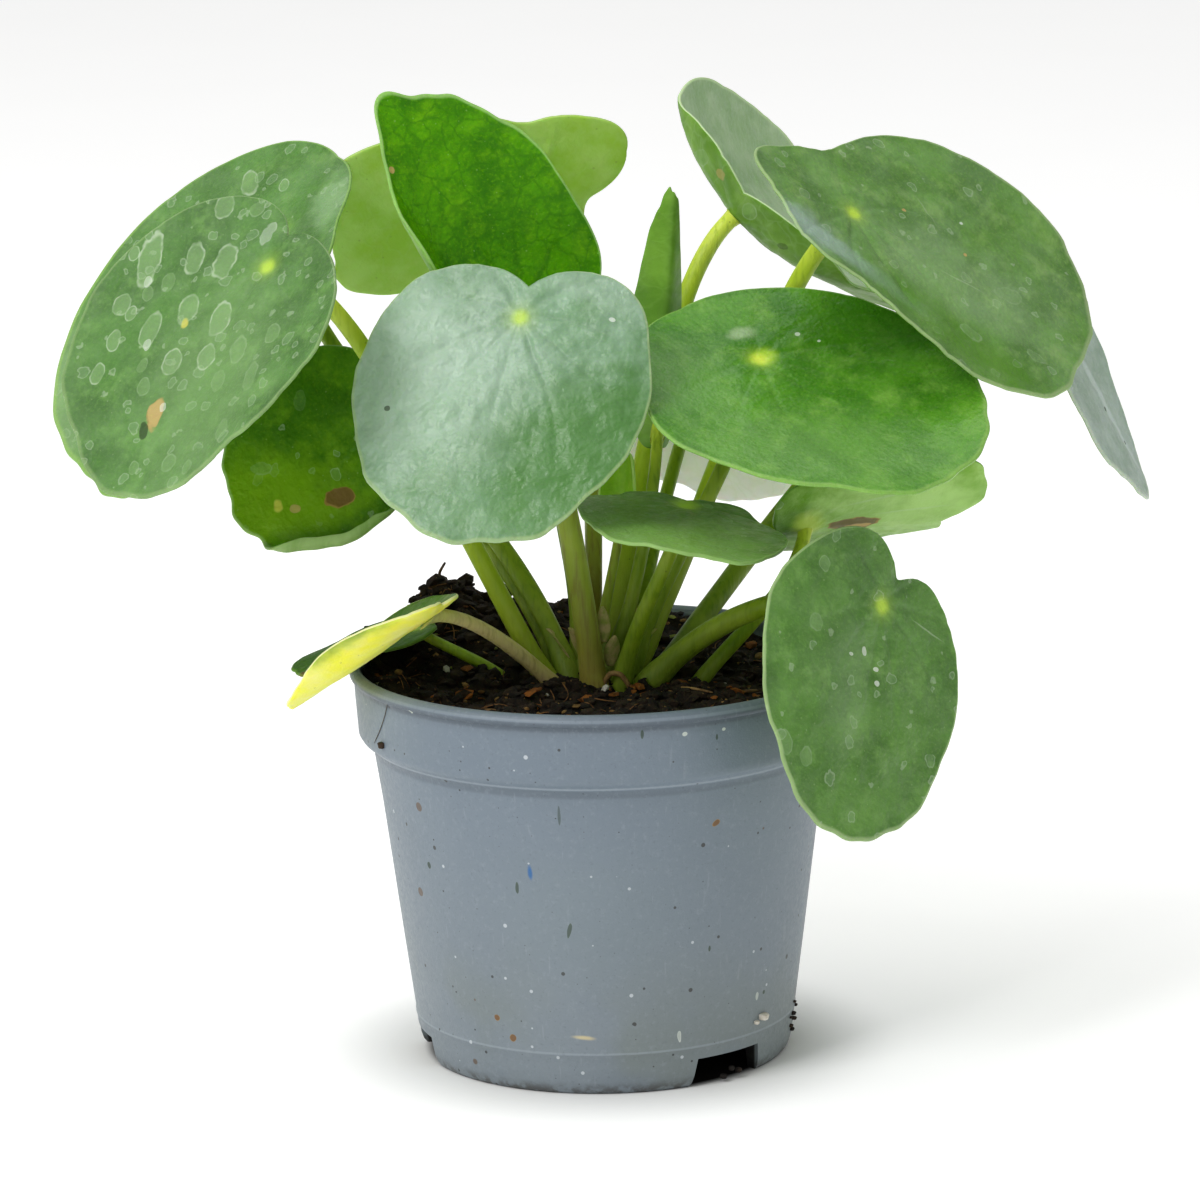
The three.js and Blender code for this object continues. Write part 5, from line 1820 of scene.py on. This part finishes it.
FINISHES = {
    "01": replace(
        GLAUCOUS, base="#64925c", deep="#507e44", pale="#88aa80", bloom="#a6c0ae", bloom_share=0.46,
        hammer=2.4, shine=0.50, gloss=0.37, net=0.08,
        marks=(
            Mark(WASH, 30, 28, 42, 64, 60, 1.0, "#447a28"), Mark(WASH, 0, 50, 60, 16, 0, 0.2, "#5c9040"),
            # Painted sheen: the pale grey-green washes at the upper left, over the middle and beside the
            # notch.
            Mark(WASH, -22, 20, 46, 44, 100, 0.50, "#b8cebc"),
            Mark(WASH, -8, 10, 20, 40, 100, 0.15, "#ccdcd4"), Mark(WASH, 8, -12, 40, 8, 8, 0.30, "#b4ccb8"),
            Mark(CHALK, 21, -4, 1.4, 1.0), Mark(DARK, -26, 27, 1.4, 1.2),
        ),
    ),
    "02": replace(
        BRIGHT, gloss=0.24, shine=0.35, hammer=0.7,
        marks=(
            Mark(WASH, 36, 10, 52, 26, 20, 0.8, "#2a6402"), Mark(WASH, -16, 34, 60, 30, 40, 0.5, "#76a258"),
            # The small near-white wash beside the dot is a painted highlight.
            Mark(WASH, -22, -8, 26, 34, 0, 0.6, "#6f9f54"), Mark(WASH, 4, -9, 7, 4, 20, 0.45, "#d4e8bc"),
            Mark(WASH, 1, 0, 7, 5, 0, 0.8, "#b4dc38"), Mark(CHALK, 14, 0, 1.2, 1.0),
            Mark(CHALK, 16, 5, 1.0, 0.8),
        ),
    ),
    "03": replace(
        GLAUCOUS, base="#5c8e2c", deep="#45721c", pale="#82a854", bloom_share=0.22, drops=0.3, hammer=1.4,
        shine=0.14,
        marks=(
            # The two blue-grey washes beside the dot on the left are painted sheen.
            Mark(WASH, -19, 4, 44, 7, 75, 0.7, "#a4bcb0"), Mark(WASH, -10, 36, 60, 18, 75, 0.75, "#4f8410"),
            Mark(WASH, -24, -8, 30, 14, 60, 0.55, "#a0b8a8"), Mark(WASH, 10, 30, 50, 26, 60, 0.35, "#9cba88"),
            Mark(LINE, 10, 30, 12, 0.5, 60, 0.5), Mark(LINE, 22, 12, 8, 0.5, 110, 0.5),
            Mark(CHALK, 29, 20, 1.2, 1.0), Mark(GHOST, -4, 40, 7, 4, 70), Mark(GHOST, 20, 40, 8, 5, 40),
            Mark(GHOST, 8, 55, 6, 4, 60), Mark(TAN, 16, 8, 1.2, 1.0), Mark(TAN, 20, 26, 1.6, 1.2),
        ),
    ),
    "04": replace(
        GLAUCOUS, base="#98ba80", deep="#80a868", pale="#b4cca0", bloom="#c0d2b4", bloom_share=0.45, edge=0.9,
        under="#5c8a20", margin="#c4dca8",
        under_marks=(
            Mark(WATER, -4, -6, 6, 4, 60, 0.7), Mark(TAN, 8, -7, 4, 3, 40, 0.6),
            Mark(GHOST, 16, -4, 8, 4, 60), Mark(DARK, -16, -4, 3, 2, 20, 0.6),
        ),
    ),
    "05": replace(
        GLAUCOUS, base="#8ca58c", deep="#7a967a", pale="#a0b4a0", bloom="#b2c2ba", bloom_share=0.7,
        margin="#c4d0bc", under="#7c9444",
        marks=(
            # The long pale streak is painted sheen.
            Mark(WASH, 4, 34, 44, 4, 82, 0.8, "#c4d2cc"), Mark(DARK, 2, 36, 1.4, 1.2),
            Mark(DARK, 6, 46, 1.2, 1.0),
        ),
    ),
    "06": replace(
        GLAUCOUS, base="#4c7c30", deep="#366020", pale="#6f9c4c", bloom="#80a46c", bloom_share=0.30,
        drops=0.7, hammer=1.2, edge=0.35,
        marks=(Mark(WASH, 6, 34, 60, 34, 68, 0.45, "#84a86c"), *WATER_MARKS_06),
    ),
    "07": replace(
        BRIGHT, base="#4e8428", deep="#3c6c18", pale="#74a04c", bloom="#90ac84", bloom_share=0.25, drops=0.45,
        dot="#6f9c48",
        marks=(
            Mark(WATER, -24, -9, 9, 5, 40), Mark(WATER, -12, -11, 4, 3, 40),
            Mark(WASH, 10, -10, 16, 12, 60, 0.6, "#98bc88"), Mark(WASH, -40, 60, 40, 34, 60, 0.6, "#90b07c"),
        ),
    ),
    "08": replace(
        DEEP, under="#7fa450", under_pale="#9cbc70", margin="#c0d4a0", drops=0.2,
        marks=(
            Mark(WASH, 4, 36, 50, 24, -57, 0.8, "#7ca810"), Mark(BROWN, 13, 17, 8, 4.5, -57),
            Mark(YELLOW, 7, 32, 3, 2.4, 0, 0.9), Mark(TAN, 10, 28, 3, 2.2, -57, 0.8),
            Mark(GHOST, -4, 32, 6, 3, -57, 0.7), Mark(GHOST, -14, 16, 5, 3, 30, 0.5),
            Mark(CHALK, -18, 30, 2, 1, 60, 0.4),
        ),
    ),
    "09": replace(
        BRIGHT, base="#529800", deep="#347402", pale="#74b408", bloom="#6ca040", bloom_share=0.02,
        vein="#2a6402", net=0.58, rays=0.45, shine=0.12, margin="#b4d888", glow=0.3,
        marks=(Mark(TAN, 10, 44, 1.8, 1.4),),
    ),
    "10": replace(PALE, base="#7ca83c", under="#a8cc48", under_pale="#c0dc7c", dot="#b0d45c", net=0.05),
    "11": replace(
        BRIGHT, base="#4f8a1c", pale="#6fa03c", under="#56861c", under_pale="#7cac38", vein="#b5d08a",
        rays=0.4,
    ),
    "12": replace(
        DEEP, base="#648a34", deep="#4e7222", pale="#789c50", bloom="#90ac84", bloom_share=0.3, drops=0.25,
        margin="#9cbc74", edge=0.5,
        marks=(
            Mark(WASH, 2, 34, 54, 26, 12, 0.7, "#7cac4c"), Mark(WASH, 0, -2, 6, 5, 0, 0.8, "#c4e060"),
        ),
    ),
    "13": replace(
        GLAUCOUS, base="#54842c", deep="#406c20", pale="#74a04c", bloom="#8cac78", bloom_share=0.22,
        drops=0.35, hammer=1.5,
        marks=(
            Mark(CHALK, -3, 12, 1.8, 1.2, 60), Mark(CHALK, -7, 14, 1.4, 1.0), Mark(CHALK, 2, 15, 1.4, 1.0),
            Mark(CHALK, 3, 18, 1.6, 1.2), Mark(GHOST, -21, 40, 6, 4, 60), Mark(GHOST, -14, 41, 5, 4, 60),
            Mark(GHOST, -19, 10, 5, 4, 60), Mark(GHOST, -20, -4, 4, 3, 60),
            Mark(LINE, 16, 1, 10, 0.4, 10, 0.7), Mark(WASH, -6, 22, 30, 12, 80, 0.3, "#86a474"),
        ),
    ),
    "14": replace(
        BRIGHT, under="#6ca01c", under_pale="#b0d878",
        under_marks=(
            Mark(WASH, -4, 26, 44, 26, 80, 0.5, "#acd47c"), Mark(WASH, 0, -10, 24, 20, 0, 0.9, "#3f7000"),
            Mark(WASH, -3, 0, 10, 7, 0, 0.8, "#c4dc58"), Mark(BROWN, 0, 12, 13, 6, 90, 1.0, "#6e5c3a"),
            Mark(TAN, 1, 13, 7, 2.4, 90, 1.0), Mark(WATER, -14, -10, 5, 3, 50),
            Mark(LINE, -12, 20, 22, 1.0, 100, 0.5), Mark(LINE, -4, 26, 18, 0.8, 90, 0.4),
        ),
    ),
    "15": YELLOWED,
    "16": replace(DEEP, base="#446c1c", shine=0.15, gloss=0.55, marks=(Mark(BROWN, 7, 30, 4, 3, 30),)),
    # Its near-white underside is painted light shining through the blade, over the lower face's paler green.
    "17": replace(PALE, base="#b4c8a0", under="#f0f6e4", under_pale="#fafcf4", pale="#c0d0b0"),
    "18": replace(PALE, base="#8cbc1c", deep="#74a812", pale="#a8cc40", under="#98c428", bloom_share=0.05),
}

STALKS = {
    "01": BROWNED_STALK, "03": BRIGHT_STALK, "04": BRIGHT_STALK, "06": BRIGHT_STALK, "10": BROWNED_STALK,
    "15": TAN_STALK, "18": BROWNED_STALK,
}

SLOTS = {
    "leaf_glaucous": ("01", "03", "04", "05", "06", "13"),
    "leaf_bright": ("02", "07", "09", "11", "14"),
    "leaf_deep": ("08", "12", "16"),
    "leaf_pale": ("10", "17", "18"),
    "leaf_yellow": ("15",),
}


# ---- assembly


def main() -> None:
    """Builds every piece in order, logging its faces, then the studio."""
    logging.basicConfig(level=logging.INFO, format="%(message)s")
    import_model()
    bench = Bench(PlantFrame.from_pot())
    settle(Pot().make(bench), "pot", "pot")
    soil = Soil()
    settle(soil.make(bench), "soil", "soil")
    for grains in GRAINS:
        settle(soil.scatter(bench, grains), "soil")
    settle(Crown().make(bench), "crown", "crown")
    litter = Litter(soil)
    for make in (litter.fibres, litter.roots, litter.twigs, litter.scales):
        settle(make(bench), "soil")
    settle(litter.hair(bench), "pot")
    for name, codes, blobs in STUCK:
        settle(litter.stuck(bench, name, codes, blobs), "pot")
    slot_of = {label: slot for slot, labels in SLOTS.items() for label in labels}
    for shape in LEAVES:
        label = shape.label
        settle(Blade(shape, FINISHES[label]).make(bench), slot_of[label], f"blade_{label}")
        stalk = Stalk(shape, STALKS.get(label, GREEN_STALK))
        settle(stalk.make(bench), "stalk_tan" if label == "15" else "stalk", f"petiole_{label}")
    Studio().make(bench)
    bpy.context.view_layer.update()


if __name__ == "__main__":
    main()
